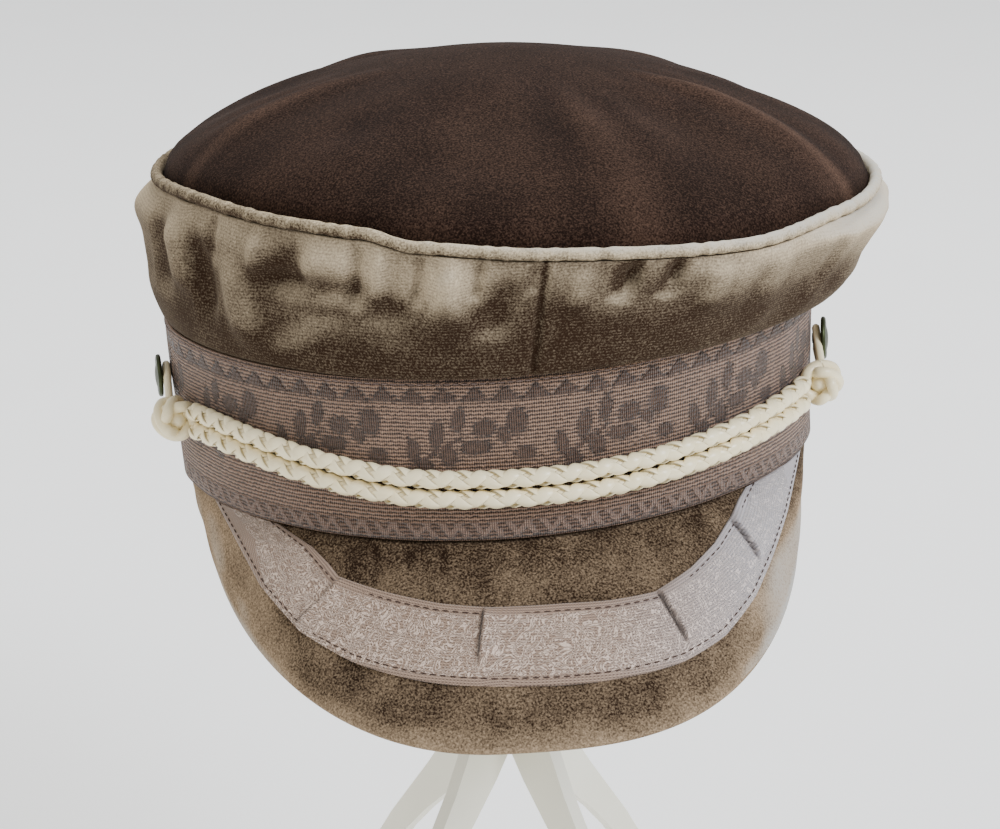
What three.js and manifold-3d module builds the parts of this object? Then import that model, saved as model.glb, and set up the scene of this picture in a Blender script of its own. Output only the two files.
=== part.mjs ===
import * as THREE from 'three';
import { mergeVertices } from 'three/addons/utils/BufferGeometryUtils.js';
import Module from 'manifold-3d';

const wasm = await Module();
wasm.setup();

// A velvet fisherman cap with a jacquard ribbon and a doubled braid, on a folding hat stand.
// Millimetres, +Z up, the peak towards -Y. The cap is drawn level, with the middle of its hem
// at 0,0,0, and is then tilted and set down on the stand.
// An azimuth is in degrees from +X towards +Y, so the front is at -90.

// Headband, measured over its ribbon
const BAND_HALF_WIDTH = 92.5;
const BAND_HALF_DEPTH = 95;
const BAND_HEIGHT = 45;
const BAND_FLARE = 2; // how much further out the band stands at its top
const HEM_LIFT = 4; // how far the hem rises from the front to the ears
const VELVET_WALL = 2;
const RIBBON_WALL = 0.8;
const CLEARANCE = 0.3;

// Crown: the piped ring stands out beyond the headband and leans to the wearer's left
const CROWN_OVERHANG_SIDE = 11;
const CROWN_OVERHANG_FRONT = 18;
const CROWN_SHIFT = 10.3;
const CROWN_RISE = 36; // from the top of the headband to the ring, at the front
const CROWN_DROOP = 3.3; // degrees, the ring lower at +X
const RING_WAVE = 6; // height of the ring's slow waves
const PIPING_RADIUS = 1.7;
const SIDE_BULGE = 6; // how far the side bags out beyond the ring
const SIDE_FOLD_DEPTH = 3;
const DOME_RISE = 39;
const DOME_FULLNESS = 1.68; // 1 is a cone, 2 an ellipse
const TOP_FOLD_RISE = 2.6;

// Peak
const PEAK_REACH = 38; // forward of the headband
const PEAK_DROP = 45;
const PEAK_ROOT = 5; // how far forward of the ears it starts
const PEAK_NARROWING = 6.5; // its sides stand in from the headband's
const PEAK_TUCK = 1.4; // how far its sewn edge lies under the band
const PEAK_WALL = 3;
const PEAK_CAMBER = 2;
const PEAK_FULLNESS_LEFT = 2.1;
const PEAK_FULLNESS_RIGHT = 2.85;
const PEAK_SPAN = 86; // degrees each side of the front

// Doubled braid, its knots, loops and side buttons
const CORD_RADIUS = 2.35;
const CORD_SPACING = 5.5;
const KNOT_RING = 3.5;
const KNOT_CORD = 2.1;
const KNOT_TILT = 38;
const LOOP_RADIUS = 1.2;
const BUTTON_RADIUS = 6.2;
const BUTTON_WALL = 1.4;
const BUTTON_CROWN = 0.6;
const SHANK_RADIUS = 1.5;

// Hat stand: two plates that cross on the middle line
const STAND_HEIGHT = 330;
const STAND_PLATE = 4;
const STAND_STRIP = 9; // width of the open frame's strip
const STAND_CROSSING = 38; // degrees between each plate and the front to back line
const DOME_SLACK = 22; // between the dome of the stand and the inside of the band
const DOME_DEPTH = 62;
const WAIST_HALF = 14;
const WAIST_HEIGHT = 140;
const WAIST_SOLID = 22; // height of the solid waist above the arch between the legs
const FOOT_REACH = 90;
const FOOT_LENGTH = 11;

// How the cap sits on the stand
const CAP_PITCH = 6; // degrees, tipped back
const CAP_ROLL = 3.3; // degrees, +X side up
const CAP_SHIFT_X = -3.8;
const CAP_SHIFT_Y = 2;

// The ring's height around the crown, as shares of RING_WAVE
const RING_TABLE = [
  { azimuth: -180, lift: 0.65 },
  { azimuth: -147, lift: 1.0 },
  { azimuth: -124, lift: 0.78 },
  { azimuth: -113, lift: 0.7 },
  { azimuth: -105, lift: 0.25 },
  { azimuth: -86, lift: 0.05 },
  { azimuth: -54, lift: -0.15 },
  { azimuth: -32, lift: 0.35 },
  { azimuth: 0, lift: 0.55 },
  { azimuth: 90, lift: 0.85 },
];

// How the side crown bags around the cap: bulge as a share of SIDE_BULGE, sag as a share of
// CROWN_RISE, by which the lowest roll hangs below the top of the headband
const BAG_TABLE = [
  { azimuth: -180, bulge: 0.95, sag: -0.1 },
  { azimuth: -140, bulge: 0.45, sag: -0.08 },
  { azimuth: -110, bulge: 0.1, sag: -0.02 },
  { azimuth: -80, bulge: 0.0, sag: 0.0 },
  { azimuth: -50, bulge: 0.3, sag: 0.08 },
  { azimuth: -20, bulge: 0.9, sag: 0.13 },
  { azimuth: 20, bulge: 1.0, sag: 0.06 },
  { azimuth: 90, bulge: 0.8, sag: 0.0 },
  { azimuth: 140, bulge: 1.0, sag: 0.0 },
];

// The side crown from its lower seam to the ring: out is the share of the way out to the ring,
// up the share of the way up to it, bag how much of the bulge it takes
const SIDE_SECTION = [
  { out: 0.06, up: 0.0, bag: 0.0 },
  { out: 0.26, up: 0.02, bag: 0.35 },
  { out: 0.4, up: 0.2, bag: 0.8 },
  { out: 0.56, up: 0.42, bag: 0.85 },
  { out: 0.73, up: 0.64, bag: 1.0 },
  { out: 0.89, up: 0.84, bag: 1.1 },
  { out: 1.0, up: 1.0, bag: 0.0 },
];

// Gathers of the side crown: depth is a share of SIDE_FOLD_DEPTH, below 0 a hollow; lean is how
// many degrees the fold moves round from its foot to its head; low and high are shares of the rise
const SIDE_FOLDS = [
  { azimuth: -158, width: 5, depth: -0.8, lean: 2, low: 0.2, high: 1.0 },
  { azimuth: -150, width: 5, depth: 1.0, lean: 0, low: 0.3, high: 0.95 },
  { azimuth: -144, width: 4, depth: -0.9, lean: -2, low: 0.1, high: 0.9 },
  { azimuth: -135, width: 5, depth: 0.9, lean: -6, low: 0.0, high: 0.8 },
  { azimuth: -126, width: 7, depth: -0.9, lean: 4, low: 0.55, high: 0.95 },
  { azimuth: -117, width: 6, depth: 0.7, lean: 0, low: 0.4, high: 0.95 },
  { azimuth: -108, width: 5, depth: -0.6, lean: 3, low: 0.35, high: 0.95 },
  { azimuth: -99, width: 4, depth: 0.6, lean: -2, low: 0.4, high: 0.95 },
  { azimuth: -92, width: 4, depth: -0.5, lean: 2, low: 0.3, high: 0.9 },
  { azimuth: -74, width: 3, depth: -0.8, lean: 1, low: 0.6, high: 1.0 },
  { azimuth: -67, width: 3, depth: -0.7, lean: 2, low: 0.6, high: 1.0 },
  { azimuth: -56, width: 6, depth: 0.4, lean: 4, low: 0.3, high: 0.9 },
  { azimuth: -38, width: 7, depth: -0.6, lean: 6, low: 0.0, high: 0.7 },
  { azimuth: -22, width: 7, depth: 0.5, lean: 4, low: 0.1, high: 0.9 },
  { azimuth: -4, width: 8, depth: -0.9, lean: 0, low: 0.0, high: 0.9 },
  { azimuth: 24, width: 9, depth: 0.6, lean: 3, low: 0.1, high: 0.9 },
  { azimuth: 50, width: 9, depth: -0.7, lean: -4, low: 0.1, high: 1.0 },
  { azimuth: 78, width: 8, depth: 0.6, lean: 2, low: 0.1, high: 0.9 },
  { azimuth: 104, width: 8, depth: -0.7, lean: -3, low: 0.1, high: 1.0 },
  { azimuth: 132, width: 8, depth: 0.7, lean: 3, low: 0.0, high: 0.9 },
  { azimuth: 160, width: 8, depth: -0.8, lean: -3, low: 0.1, high: 1.0 },
];

// Ridges and hollows that run from the middle of the top to the ring: rise is a share of
// TOP_FOLD_RISE, from and to are shares of the radius
const TOP_FOLDS = [
  { azimuth: -155, width: 10, rise: 1.0, from: 0.3, to: 1.0 },
  { azimuth: -123, width: 9, rise: 0.45, from: 0.7, to: 1.0 },
  { azimuth: -100, width: 22, rise: -0.8, from: 0.35, to: 0.95 },
  { azimuth: -72, width: 7, rise: 0.3, from: 0.3, to: 0.95 },
  { azimuth: -48, width: 14, rise: -0.7, from: 0.35, to: 0.95 },
  { azimuth: -26, width: 8, rise: 1.0, from: 0.3, to: 1.0 },
  { azimuth: 20, width: 18, rise: -0.7, from: 0.4, to: 1.0 },
  { azimuth: 52, width: 12, rise: 0.7, from: 0.3, to: 1.0 },
  { azimuth: 95, width: 20, rise: -0.6, from: 0.4, to: 0.95 },
  { azimuth: 135, width: 12, rise: 0.7, from: 0.3, to: 1.0 },
  { azimuth: 175, width: 16, rise: -0.7, from: 0.4, to: 1.0 },
];

// The braid's middle line along the headband: height is a share of BAND_HEIGHT
const CORD_ROUTE = [
  { azimuth: -150.5, height: 0.58 },
  { azimuth: -145, height: 0.58 },
  { azimuth: -138, height: 0.555 },
  { azimuth: -129, height: 0.505 },
  { azimuth: -120, height: 0.445 },
  { azimuth: -111, height: 0.39 },
  { azimuth: -101, height: 0.345 },
  { azimuth: -88, height: 0.33 },
  { azimuth: -75, height: 0.33 },
  { azimuth: -63, height: 0.353 },
  { azimuth: -53, height: 0.385 },
  { azimuth: -42, height: 0.43 },
  { azimuth: -32, height: 0.465 },
  { azimuth: -23, height: 0.49 },
];

// Each end of the braid: azimuths of its knot and button, their heights as shares of BAND_HEIGHT
const CORD_ENDS = [
  { side: 'left', knot: -155, knotHeight: 0.57, button: -170, buttonHeight: 0.72 },
  { side: 'right', knot: -18.5, knotHeight: 0.51, button: -7.5, buttonHeight: 0.7 },
];

// The ribbon on the peak, from its left end at the hem to its right end: each row is one line
// across it, given by where its inner and outer ends lie, as an angle from the front and the
// share of the way from the hem to the edge
const PEAK_RIBBON_TABLE = [
  { innerAngle: -41, innerShare: 0.02, outerAngle: -60, outerShare: 0.02 },
  { innerAngle: -33.5, innerShare: 0.11, outerAngle: -54, outerShare: 0.22 },
  { innerAngle: -30, innerShare: 0.19, outerAngle: -46, outerShare: 0.49 },
  { innerAngle: -28, innerShare: 0.25, outerAngle: -36.5, outerShare: 0.64 },
  { innerAngle: -19.8, innerShare: 0.29, outerAngle: -26, outerShare: 0.69 },
  { innerAngle: -9.8, innerShare: 0.33, outerAngle: -15, outerShare: 0.71 },
  { innerAngle: -1.5, innerShare: 0.35, outerAngle: -5, outerShare: 0.72 },
  { innerAngle: 8.5, innerShare: 0.36, outerAngle: 6, outerShare: 0.74 },
  { innerAngle: 16, innerShare: 0.38, outerAngle: 16, outerShare: 0.75 },
  { innerAngle: 24, innerShare: 0.39, outerAngle: 27, outerShare: 0.76 },
  { innerAngle: 32, innerShare: 0.33, outerAngle: 37, outerShare: 0.74 },
  { innerAngle: 38.5, innerShare: 0.25, outerAngle: 46.5, outerShare: 0.66 },
  { innerAngle: 44, innerShare: 0.14, outerAngle: 54, outerShare: 0.53 },
  { innerAngle: 46.5, innerShare: 0.07, outerAngle: 61.5, outerShare: 0.37 },
  { innerAngle: 49, innerShare: 0.02, outerAngle: 72, outerShare: 0.03 },
];

// Bends of a leg's outer and inner edges, from the foot up: reach is a share of FOOT_REACH,
// height a share of WAIST_HEIGHT
const LEG_OUTER = [{ reach: 0.88, height: 0.5 }, { reach: 0.34, height: 0.62 }];
const LEG_INNER = [{ reach: 0.8, height: 0.49 }, { reach: 0.28, height: 0.6 }];

// How finely the curved pieces are faceted
const SIDE_FACETS = 120;
const TOP_FACETS = 80;
const TOP_RINGS = [0.1, 0.24, 0.4, 0.56, 0.7, 0.83, 0.93, 1];
const INNER_RINGS = [1, 0.85, 0.62, 0.36, 0.12];
const PIPING_FACETS = 80;
const PIPING_SIDES = 6;
const BAND_FACETS = 72;
const PEAK_FACETS = 40;
const PEAK_LINES = [0, 0.35, 0.7, 1];
const PEAK_RIBBON_STEPS = 2;
const CORD_STEPS = 40;
const CORD_SIDES = 6;
const LOOP_STEPS = 18;
const PLATE_CURVE_STEPS = 9;

const rad = THREE.MathUtils.degToRad;
const mix = THREE.MathUtils.lerp;
const smooth = THREE.MathUtils.smoothstep;
const fullTurn = 360;

function azimuths(count) {
  return Array.from({ length: count }, (_, i) => -180 + (fullTurn * i) / count);
}

// Reads a column of a table around the cap, easing from each row to the next
function around(table, column, azimuth) {
  const start = table[0].azimuth;
  const a = start + THREE.MathUtils.euclideanModulo(azimuth - start, fullTurn);
  let i = table.length - 1;
  while (table[i].azimuth > a) i -= 1;
  const here = table[i];
  const next = table[(i + 1) % table.length];
  const end = i + 1 < table.length ? next.azimuth : start + fullTurn;
  return mix(here[column], next[column], smooth(a, here.azimuth, end));
}

// A smooth bump of height 1 round a centre azimuth, 0 beyond its width
function bump(azimuth, centre, width) {
  const turn = THREE.MathUtils.euclideanModulo(azimuth - centre + 180, fullTurn) - 180;
  const t = Math.min(Math.abs(turn) / width, 1);
  return (1 - t * t) ** 2;
}

// Rises from 0 to 1 and falls back to 0 between two shares
function window(value, low, high) {
  const edge = (high - low) / 3;
  return smooth(value, low, low + edge) * (1 - 0.75 * smooth(value, high - edge, high));
}

function solid(points, faces) {
  let volume = 0;
  for (let i = 0; i < faces.length; i += 3) {
    const [a, b, c] = [points[faces[i]], points[faces[i + 1]], points[faces[i + 2]]];
    volume += a.dot(new THREE.Vector3().crossVectors(b, c));
  }
  if (volume < 0) faces.reverse();
  const geometry = new THREE.BufferGeometry().setFromPoints(points);
  geometry.setIndex(faces);
  return geometry;
}

// Joins closed loops of equally many points; the last loop meets the first, or both ends close
function skin(loops, wrap) {
  const count = loops[0].length;
  const points = loops.flat();
  const faces = [];
  const bands = wrap ? loops.length : loops.length - 1;
  for (let i = 0; i < bands; i += 1) {
    const near = i * count;
    const far = ((i + 1) % loops.length) * count;
    for (let j = 0; j < count; j += 1) {
      const next = (j + 1) % count;
      faces.push(near + j, near + next, far + next);
      faces.push(near + j, far + next, far + j);
    }
  }
  if (!wrap) {
    for (const [i, flip] of [[0, true], [loops.length - 1, false]]) {
      const middle = new THREE.Vector3();
      loops[i].forEach((p) => middle.addScaledVector(p, 1 / count));
      points.push(middle);
      for (let j = 0; j < count; j += 1) {
        const a = i * count + j;
        const b = i * count + ((j + 1) % count);
        faces.push(points.length - 1, flip ? b : a, flip ? a : b);
      }
    }
  }
  return solid(points, faces);
}

function toManifold(geometry) {
  const bare = geometry.clone();
  bare.deleteAttribute('normal');
  bare.deleteAttribute('uv');
  const merged = mergeVertices(bare, 1e-4);
  const corners = merged.index.array;
  const faces = [];
  for (let i = 0; i < corners.length; i += 3) {
    const [a, b, c] = corners.slice(i, i + 3);
    if (a !== b && b !== c && c !== a) faces.push(a, b, c);
  }
  return new wasm.Manifold(new wasm.Mesh({
    numProp: 3,
    vertProperties: new Float32Array(merged.attributes.position.array),
    triVerts: new Uint32Array(faces),
  }));
}

function fromManifold(manifold) {
  const mesh = manifold.getMesh();
  const geometry = new THREE.BufferGeometry();
  geometry.setAttribute('position', new THREE.BufferAttribute(mesh.vertProperties, 3));
  geometry.setIndex(new THREE.BufferAttribute(mesh.triVerts, 1));
  return geometry;
}

function join(geometries) {
  return fromManifold(geometries.map(toManifold).reduce((a, b) => a.add(b)));
}

// Headband and its ribbon

function hemHeight(azimuth) {
  return HEM_LIFT * Math.cos(rad(azimuth)) ** 2;
}

function bandPoint(azimuth, height, inset) {
  const flare = (BAND_FLARE * height) / BAND_HEIGHT;
  return new THREE.Vector3(
    (BAND_HALF_WIDTH + flare - inset) * Math.cos(rad(azimuth)),
    (BAND_HALF_DEPTH + flare - inset) * Math.sin(rad(azimuth)),
    height + hemHeight(azimuth),
  );
}

function bandWall(outerInset, wall) {
  return skin(azimuths(BAND_FACETS).map((azimuth) => [
    bandPoint(azimuth, 0, outerInset),
    bandPoint(azimuth, BAND_HEIGHT, outerInset),
    bandPoint(azimuth, BAND_HEIGHT, outerInset + wall),
    bandPoint(azimuth, 0, outerInset + wall),
  ]), true);
}

// Faces that lie square to the band, for what sits on it
function bandFrame(azimuth, height, out) {
  const across = new THREE.Vector3(
    -BAND_HALF_WIDTH * Math.sin(rad(azimuth)),
    BAND_HALF_DEPTH * Math.cos(rad(azimuth)),
    0,
  ).normalize();
  const up = new THREE.Vector3(0, 0, 1);
  const outward = new THREE.Vector3().crossVectors(across, up);
  const origin = bandPoint(azimuth, height - hemHeight(azimuth), 0).addScaledVector(outward, out);
  return new THREE.Matrix4().makeBasis(across, up, outward).setPosition(origin);
}

// Crown

const crownHalfWidth = BAND_HALF_WIDTH + CROWN_OVERHANG_SIDE;
const crownHalfDepth = BAND_HALF_DEPTH + CROWN_OVERHANG_FRONT;

function ringPlane(x) {
  return BAND_HEIGHT + CROWN_RISE - Math.tan(rad(CROWN_DROOP)) * x;
}

function ringPoint(azimuth, inset, drop) {
  const x = CROWN_SHIFT + (crownHalfWidth - inset) * Math.cos(rad(azimuth));
  const y = (crownHalfDepth - inset) * Math.sin(rad(azimuth));
  const wave = RING_WAVE * around(RING_TABLE, 'lift', azimuth);
  return new THREE.Vector3(x, y, ringPlane(x) + wave - drop);
}

function pipingRing() {
  return skin(azimuths(PIPING_FACETS).map((azimuth) => {
    const middle = ringPoint(azimuth, 0, 0);
    const outward = new THREE.Vector3(Math.cos(rad(azimuth)), Math.sin(rad(azimuth)), 0);
    return azimuths(PIPING_SIDES).map((turn) => middle.clone()
      .addScaledVector(outward, PIPING_RADIUS * Math.cos(rad(turn)))
      .add(new THREE.Vector3(0, 0, PIPING_RADIUS * Math.sin(rad(turn)))));
  }), true);
}

// A point of the side crown, depth millimetres in from its outer face
function sidePoint(azimuth, section, depth) {
  const foot = bandPoint(azimuth, BAND_HEIGHT, RIBBON_WALL + CLEARANCE);
  foot.z += CLEARANCE;
  const head = ringPoint(azimuth, -CLEARANCE, PIPING_RADIUS + CLEARANCE);
  const outward = new THREE.Vector3(Math.cos(rad(azimuth)), Math.sin(rad(azimuth)), 0);
  const point = new THREE.Vector3().lerpVectors(foot, head, section.out);
  point.z = mix(foot.z, head.z, section.up);
  point.z -= CROWN_RISE * around(BAG_TABLE, 'sag', azimuth) * section.bag * (1 - section.up) ** 2;
  let reach = SIDE_BULGE * around(BAG_TABLE, 'bulge', azimuth) * section.bag;
  for (const fold of SIDE_FOLDS) {
    const centre = fold.azimuth + fold.lean * (section.up - 0.5);
    const grip = bump(azimuth, centre, fold.width) * window(section.up, fold.low, fold.high);
    reach += SIDE_FOLD_DEPTH * fold.depth * grip;
  }
  return point.addScaledVector(outward, reach - depth);
}

function crownSide() {
  const inner = [6, 4, 2, 0].map((i) => SIDE_SECTION[i]);
  return skin(azimuths(SIDE_FACETS).map((azimuth) => [
    ...SIDE_SECTION.map((section) => sidePoint(azimuth, section, 0)),
    ...inner.map((section) => sidePoint(azimuth, section, VELVET_WALL)),
  ]), true);
}

const topInset = PIPING_RADIUS + CLEARANCE;

// A point of the crown's top: share runs from the middle to the ring
function topPoint(share, azimuth, depth) {
  const rim = ringPoint(azimuth, topInset + depth, depth);
  const wave = rim.z - ringPlane(rim.x);
  const x = mix(CROWN_SHIFT, rim.x, share);
  const y = rim.y * share;
  let z = ringPlane(x) + wave * share ** 3;
  z += DOME_RISE * (1 - share ** DOME_FULLNESS) ** (1 / DOME_FULLNESS);
  for (const fold of TOP_FOLDS) {
    const grip = smooth(share, fold.from, (fold.from + fold.to) / 2);
    const release = 1 - smooth(share, mix(fold.from, fold.to, 0.7), fold.to);
    z += TOP_FOLD_RISE * fold.rise * bump(azimuth, fold.azimuth, fold.width) * grip * release;
  }
  return new THREE.Vector3(x, y, z);
}

function crownTop() {
  const ringOf = (depth) => (share) => (
    azimuths(TOP_FACETS).map((azimuth) => topPoint(share, azimuth, depth))
  );
  return skin([...TOP_RINGS.map(ringOf(0)), ...INNER_RINGS.map(ringOf(VELVET_WALL))], false);
}

// Height of the faceted inside of the crown's top over a place in the cap's own plan
function insideHeight(x, y) {
  const inset = topInset + VELVET_WALL;
  const u = (x - CROWN_SHIFT) / (crownHalfWidth - inset);
  const v = y / (crownHalfDepth - inset);
  const share = Math.min(Math.hypot(u, v), 1);
  const azimuth = THREE.MathUtils.radToDeg(Math.atan2(v, u));
  const heightAt = (ring) => topPoint(ring, azimuth, VELVET_WALL).z;
  const outer = INNER_RINGS.findLast((ring) => ring >= share);
  const inner = INNER_RINGS.find((ring) => ring < share);
  if (inner === undefined) return heightAt(outer);
  return mix(heightAt(inner), heightAt(outer), (share - inner) / (outer - inner));
}

// Peak

function peakPoint(angle, share, depth) {
  const fullness = angle < 0 ? PEAK_FULLNESS_LEFT : PEAK_FULLNESS_RIGHT;
  const [sine, cosine] = [Math.sin(rad(angle)), Math.cos(rad(angle))];
  const halfWidth = BAND_HALF_WIDTH - PEAK_NARROWING;
  const forward = BAND_HALF_DEPTH + PEAK_REACH - PEAK_ROOT;
  const along = Math.max(cosine, 0) ** (2 / fullness);
  const hem = hemHeight(angle - 90);
  const root = new THREE.Vector3(
    (BAND_HALF_WIDTH - PEAK_TUCK) * sine,
    -(BAND_HALF_DEPTH - PEAK_TUCK) * cosine,
    hem - CLEARANCE,
  );
  const edge = new THREE.Vector3(
    halfWidth * Math.sign(sine) * Math.abs(sine) ** (2 / fullness),
    -PEAK_ROOT - forward * along,
    hem * (1 - along) - PEAK_DROP * along - CLEARANCE,
  );
  const point = new THREE.Vector3().lerpVectors(root, edge, share);
  const out = new THREE.Vector3(sine, -cosine, 0);
  const fall = new THREE.Vector3().subVectors(edge, root).normalize();
  const side = new THREE.Vector3(cosine, sine, 0);
  const normal = new THREE.Vector3().crossVectors(side, fall);
  if (normal.dot(out) < 0) normal.negate();
  normal.setZ(Math.max(normal.z, 0)).normalize();
  const camber = PEAK_CAMBER * 4 * share * (1 - share) * cosine;
  return point.addScaledVector(normal, camber - depth);
}

// The peak's body, its upper face raised by grow
function peakBody(grow) {
  const loops = [];
  for (let i = 0; i <= PEAK_FACETS; i += 1) {
    const angle = mix(-PEAK_SPAN, PEAK_SPAN, i / PEAK_FACETS);
    loops.push([
      ...PEAK_LINES.map((share) => peakPoint(angle, share, -grow)),
      ...PEAK_LINES.toReversed().map((share) => peakPoint(angle, share, PEAK_WALL)),
    ]);
  }
  return skin(loops, false);
}

function peakRibbon() {
  const shares = [0, 0.35, 0.7, 1];
  const columns = ['innerAngle', 'innerShare', 'outerAngle', 'outerShare'];
  const loops = [];
  const last = (PEAK_RIBBON_TABLE.length - 1) * PEAK_RIBBON_STEPS;
  for (let i = 0; i <= last; i += 1) {
    const row = Math.min(Math.floor(i / PEAK_RIBBON_STEPS), PEAK_RIBBON_TABLE.length - 2);
    const [here, next] = [PEAK_RIBBON_TABLE[row], PEAK_RIBBON_TABLE[row + 1]];
    const [innerAngle, innerShare, outerAngle, outerShare] = columns.map((column) => (
      mix(here[column], next[column], i / PEAK_RIBBON_STEPS - row)
    ));
    const lineOf = (depth) => (share) => peakPoint(
      mix(innerAngle, outerAngle, share),
      mix(innerShare, outerShare, share),
      depth,
    );
    loops.push([
      ...shares.map(lineOf(-CLEARANCE - RIBBON_WALL)),
      ...shares.toReversed().map(lineOf(0)),
    ]);
  }
  // Its underside takes the shape of the peak below it
  return fromManifold(toManifold(skin(loops, false)).subtract(toManifold(peakBody(CLEARANCE))));
}

// Braid, knots, loops and buttons

function tube(points, radius, sides, steps) {
  const outline = azimuths(sides).map((turn) => new THREE.Vector2(
    radius * Math.cos(rad(turn)),
    radius * Math.sin(rad(turn)),
  ));
  return new THREE.ExtrudeGeometry(new THREE.Shape(outline), {
    steps,
    bevelEnabled: false,
    extrudePath: new THREE.CatmullRomCurve3(points),
  });
}

function cord(rise) {
  const out = CLEARANCE + CORD_RADIUS;
  const points = CORD_ROUTE.map(({ azimuth, height }) => new THREE.Vector3()
    .setFromMatrixPosition(bandFrame(azimuth, BAND_HEIGHT * height + rise, out)));
  return tube(points, CORD_RADIUS, CORD_SIDES, CORD_STEPS);
}

const knotOut = CLEARANCE + KNOT_RING + KNOT_CORD;

function knot({ knot: azimuth, knotHeight }) {
  const rings = [-KNOT_TILT, KNOT_TILT].map((tilt) => (
    new THREE.TorusGeometry(KNOT_RING, KNOT_CORD, 6, 10)
      .rotateY(Math.PI / 2)
      .rotateZ(rad(tilt))
  ));
  const core = new THREE.SphereGeometry(KNOT_RING, 8, 6);
  return join([core, ...rings]).applyMatrix4(bandFrame(azimuth, BAND_HEIGHT * knotHeight, knotOut));
}

// A bight from the knot over the button's shank and back, under the button
function loop({ knot: knotAzimuth, knotHeight, button, buttonHeight }) {
  const out = CLEARANCE + LOOP_RADIUS;
  const bight = SHANK_RADIUS + LOOP_RADIUS + 2 * CLEARANCE;
  const toButton = bandFrame(button, BAND_HEIGHT * buttonHeight, out);
  const fromKnot = bandFrame(knotAzimuth, BAND_HEIGHT * knotHeight, out);
  const way = Math.sign(button - knotAzimuth);
  const edge = KNOT_RING + KNOT_CORD + LOOP_RADIUS + CLEARANCE;
  const local = (frame, along, up) => new THREE.Vector3(way * along, up, 0).applyMatrix4(frame);
  return tube([
    local(fromKnot, edge, KNOT_RING),
    local(toButton, -bight - LOOP_RADIUS, bight),
    local(toButton, 0, bight),
    local(toButton, bight, 0),
    local(toButton, 0, -bight),
    local(toButton, -bight - LOOP_RADIUS, -bight),
    local(fromKnot, edge, -LOOP_RADIUS),
  ], LOOP_RADIUS, CORD_SIDES, LOOP_STEPS);
}

function button({ button: azimuth, buttonHeight }) {
  const foot = CLEARANCE;
  const under = foot + 2 * LOOP_RADIUS + CLEARANCE;
  const profile = [
    [0, foot],
    [SHANK_RADIUS, foot],
    [SHANK_RADIUS, under],
    [BUTTON_RADIUS, under],
    [BUTTON_RADIUS, under + BUTTON_WALL],
    [BUTTON_RADIUS * 0.8, under + BUTTON_WALL + BUTTON_CROWN * 0.4],
    [0, under + BUTTON_WALL + BUTTON_CROWN],
  ].map(([r, h]) => new THREE.Vector2(r, h));
  return new THREE.LatheGeometry(profile, 14)
    .rotateX(Math.PI / 2)
    .applyMatrix4(bandFrame(azimuth, BAND_HEIGHT * buttonHeight, 0));
}

// Hat stand

const domeHalf = BAND_HALF_WIDTH - RIBBON_WALL - CLEARANCE - VELVET_WALL - DOME_SLACK;

function domeFall(distance) {
  return DOME_DEPTH * (1 - Math.sqrt(1 - (distance / domeHalf) ** 2));
}

function standPlate() {
  const equator = STAND_HEIGHT - DOME_DEPTH;
  const neck = WAIST_HEIGHT + STAND_STRIP;
  const arch = WAIST_HEIGHT - WAIST_SOLID;
  const half = domeHalf - STAND_STRIP;
  const [outerFoot, outerNeck] = LEG_OUTER;
  const [innerFoot, innerNeck] = LEG_INNER;
  const leg = (side, { reach, height }) => [side * FOOT_REACH * reach, WAIST_HEIGHT * height];
  const outline = new THREE.Shape();
  outline.moveTo(-FOOT_REACH, 0);
  outline.bezierCurveTo(...leg(-1, outerFoot), ...leg(-1, outerNeck), -WAIST_HALF, WAIST_HEIGHT);
  outline.bezierCurveTo(-WAIST_HALF, neck + STAND_STRIP, -domeHalf, neck, -domeHalf, equator);
  outline.absellipse(0, equator, domeHalf, DOME_DEPTH, Math.PI, 0, true);
  outline.bezierCurveTo(domeHalf, neck, WAIST_HALF, neck + STAND_STRIP, WAIST_HALF, WAIST_HEIGHT);
  outline.bezierCurveTo(...leg(1, outerNeck), ...leg(1, outerFoot), FOOT_REACH, 0);
  outline.lineTo(FOOT_REACH - FOOT_LENGTH, 0);
  outline.bezierCurveTo(...leg(1, innerFoot), ...leg(1, innerNeck), 0, arch);
  outline.bezierCurveTo(...leg(-1, innerNeck), ...leg(-1, innerFoot), FOOT_LENGTH - FOOT_REACH, 0);
  const open = new THREE.Path();
  const low = neck + STAND_STRIP;
  open.moveTo(0, low);
  open.bezierCurveTo(WAIST_HALF, low + STAND_STRIP, half, low + STAND_STRIP, half, equator);
  open.absellipse(0, equator, half, DOME_DEPTH - STAND_STRIP, 0, Math.PI, false);
  open.bezierCurveTo(-half, low + STAND_STRIP, -WAIST_HALF, low + STAND_STRIP, 0, low);
  outline.holes.push(open);
  return new THREE.ExtrudeGeometry(outline, {
    depth: STAND_PLATE,
    bevelEnabled: false,
    curveSegments: PLATE_CURVE_STEPS,
  }).translate(0, 0, -STAND_PLATE / 2).rotateX(Math.PI / 2);
}

function stand() {
  const turns = [90 - STAND_CROSSING, STAND_CROSSING - 90];
  return join(turns.map((turn) => standPlate().rotateZ(rad(turn))));
}

// Assembly

function piece(name, geometry, look) {
  const mesh = new THREE.Mesh(geometry, new THREE.MeshStandardMaterial(look));
  mesh.name = name;
  return mesh;
}

const darkVelvet = { color: '#45342b', roughness: 0.95, metalness: 0 };
const velvet = { color: '#80705d', roughness: 0.85, metalness: 0 };
const paleVelvet = { color: '#a4957e', roughness: 0.85, metalness: 0 };
const jacquard = { color: '#7a6861', roughness: 0.55, metalness: 0 };
const ivoryBraid = { color: '#e2d8bb', roughness: 0.45, metalness: 0 };
const darkBrass = { color: '#3b402a', roughness: 0.4, metalness: 0.8 };
const whitePlastic = { color: '#dfe2da', roughness: 0.5, metalness: 0 };

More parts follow.
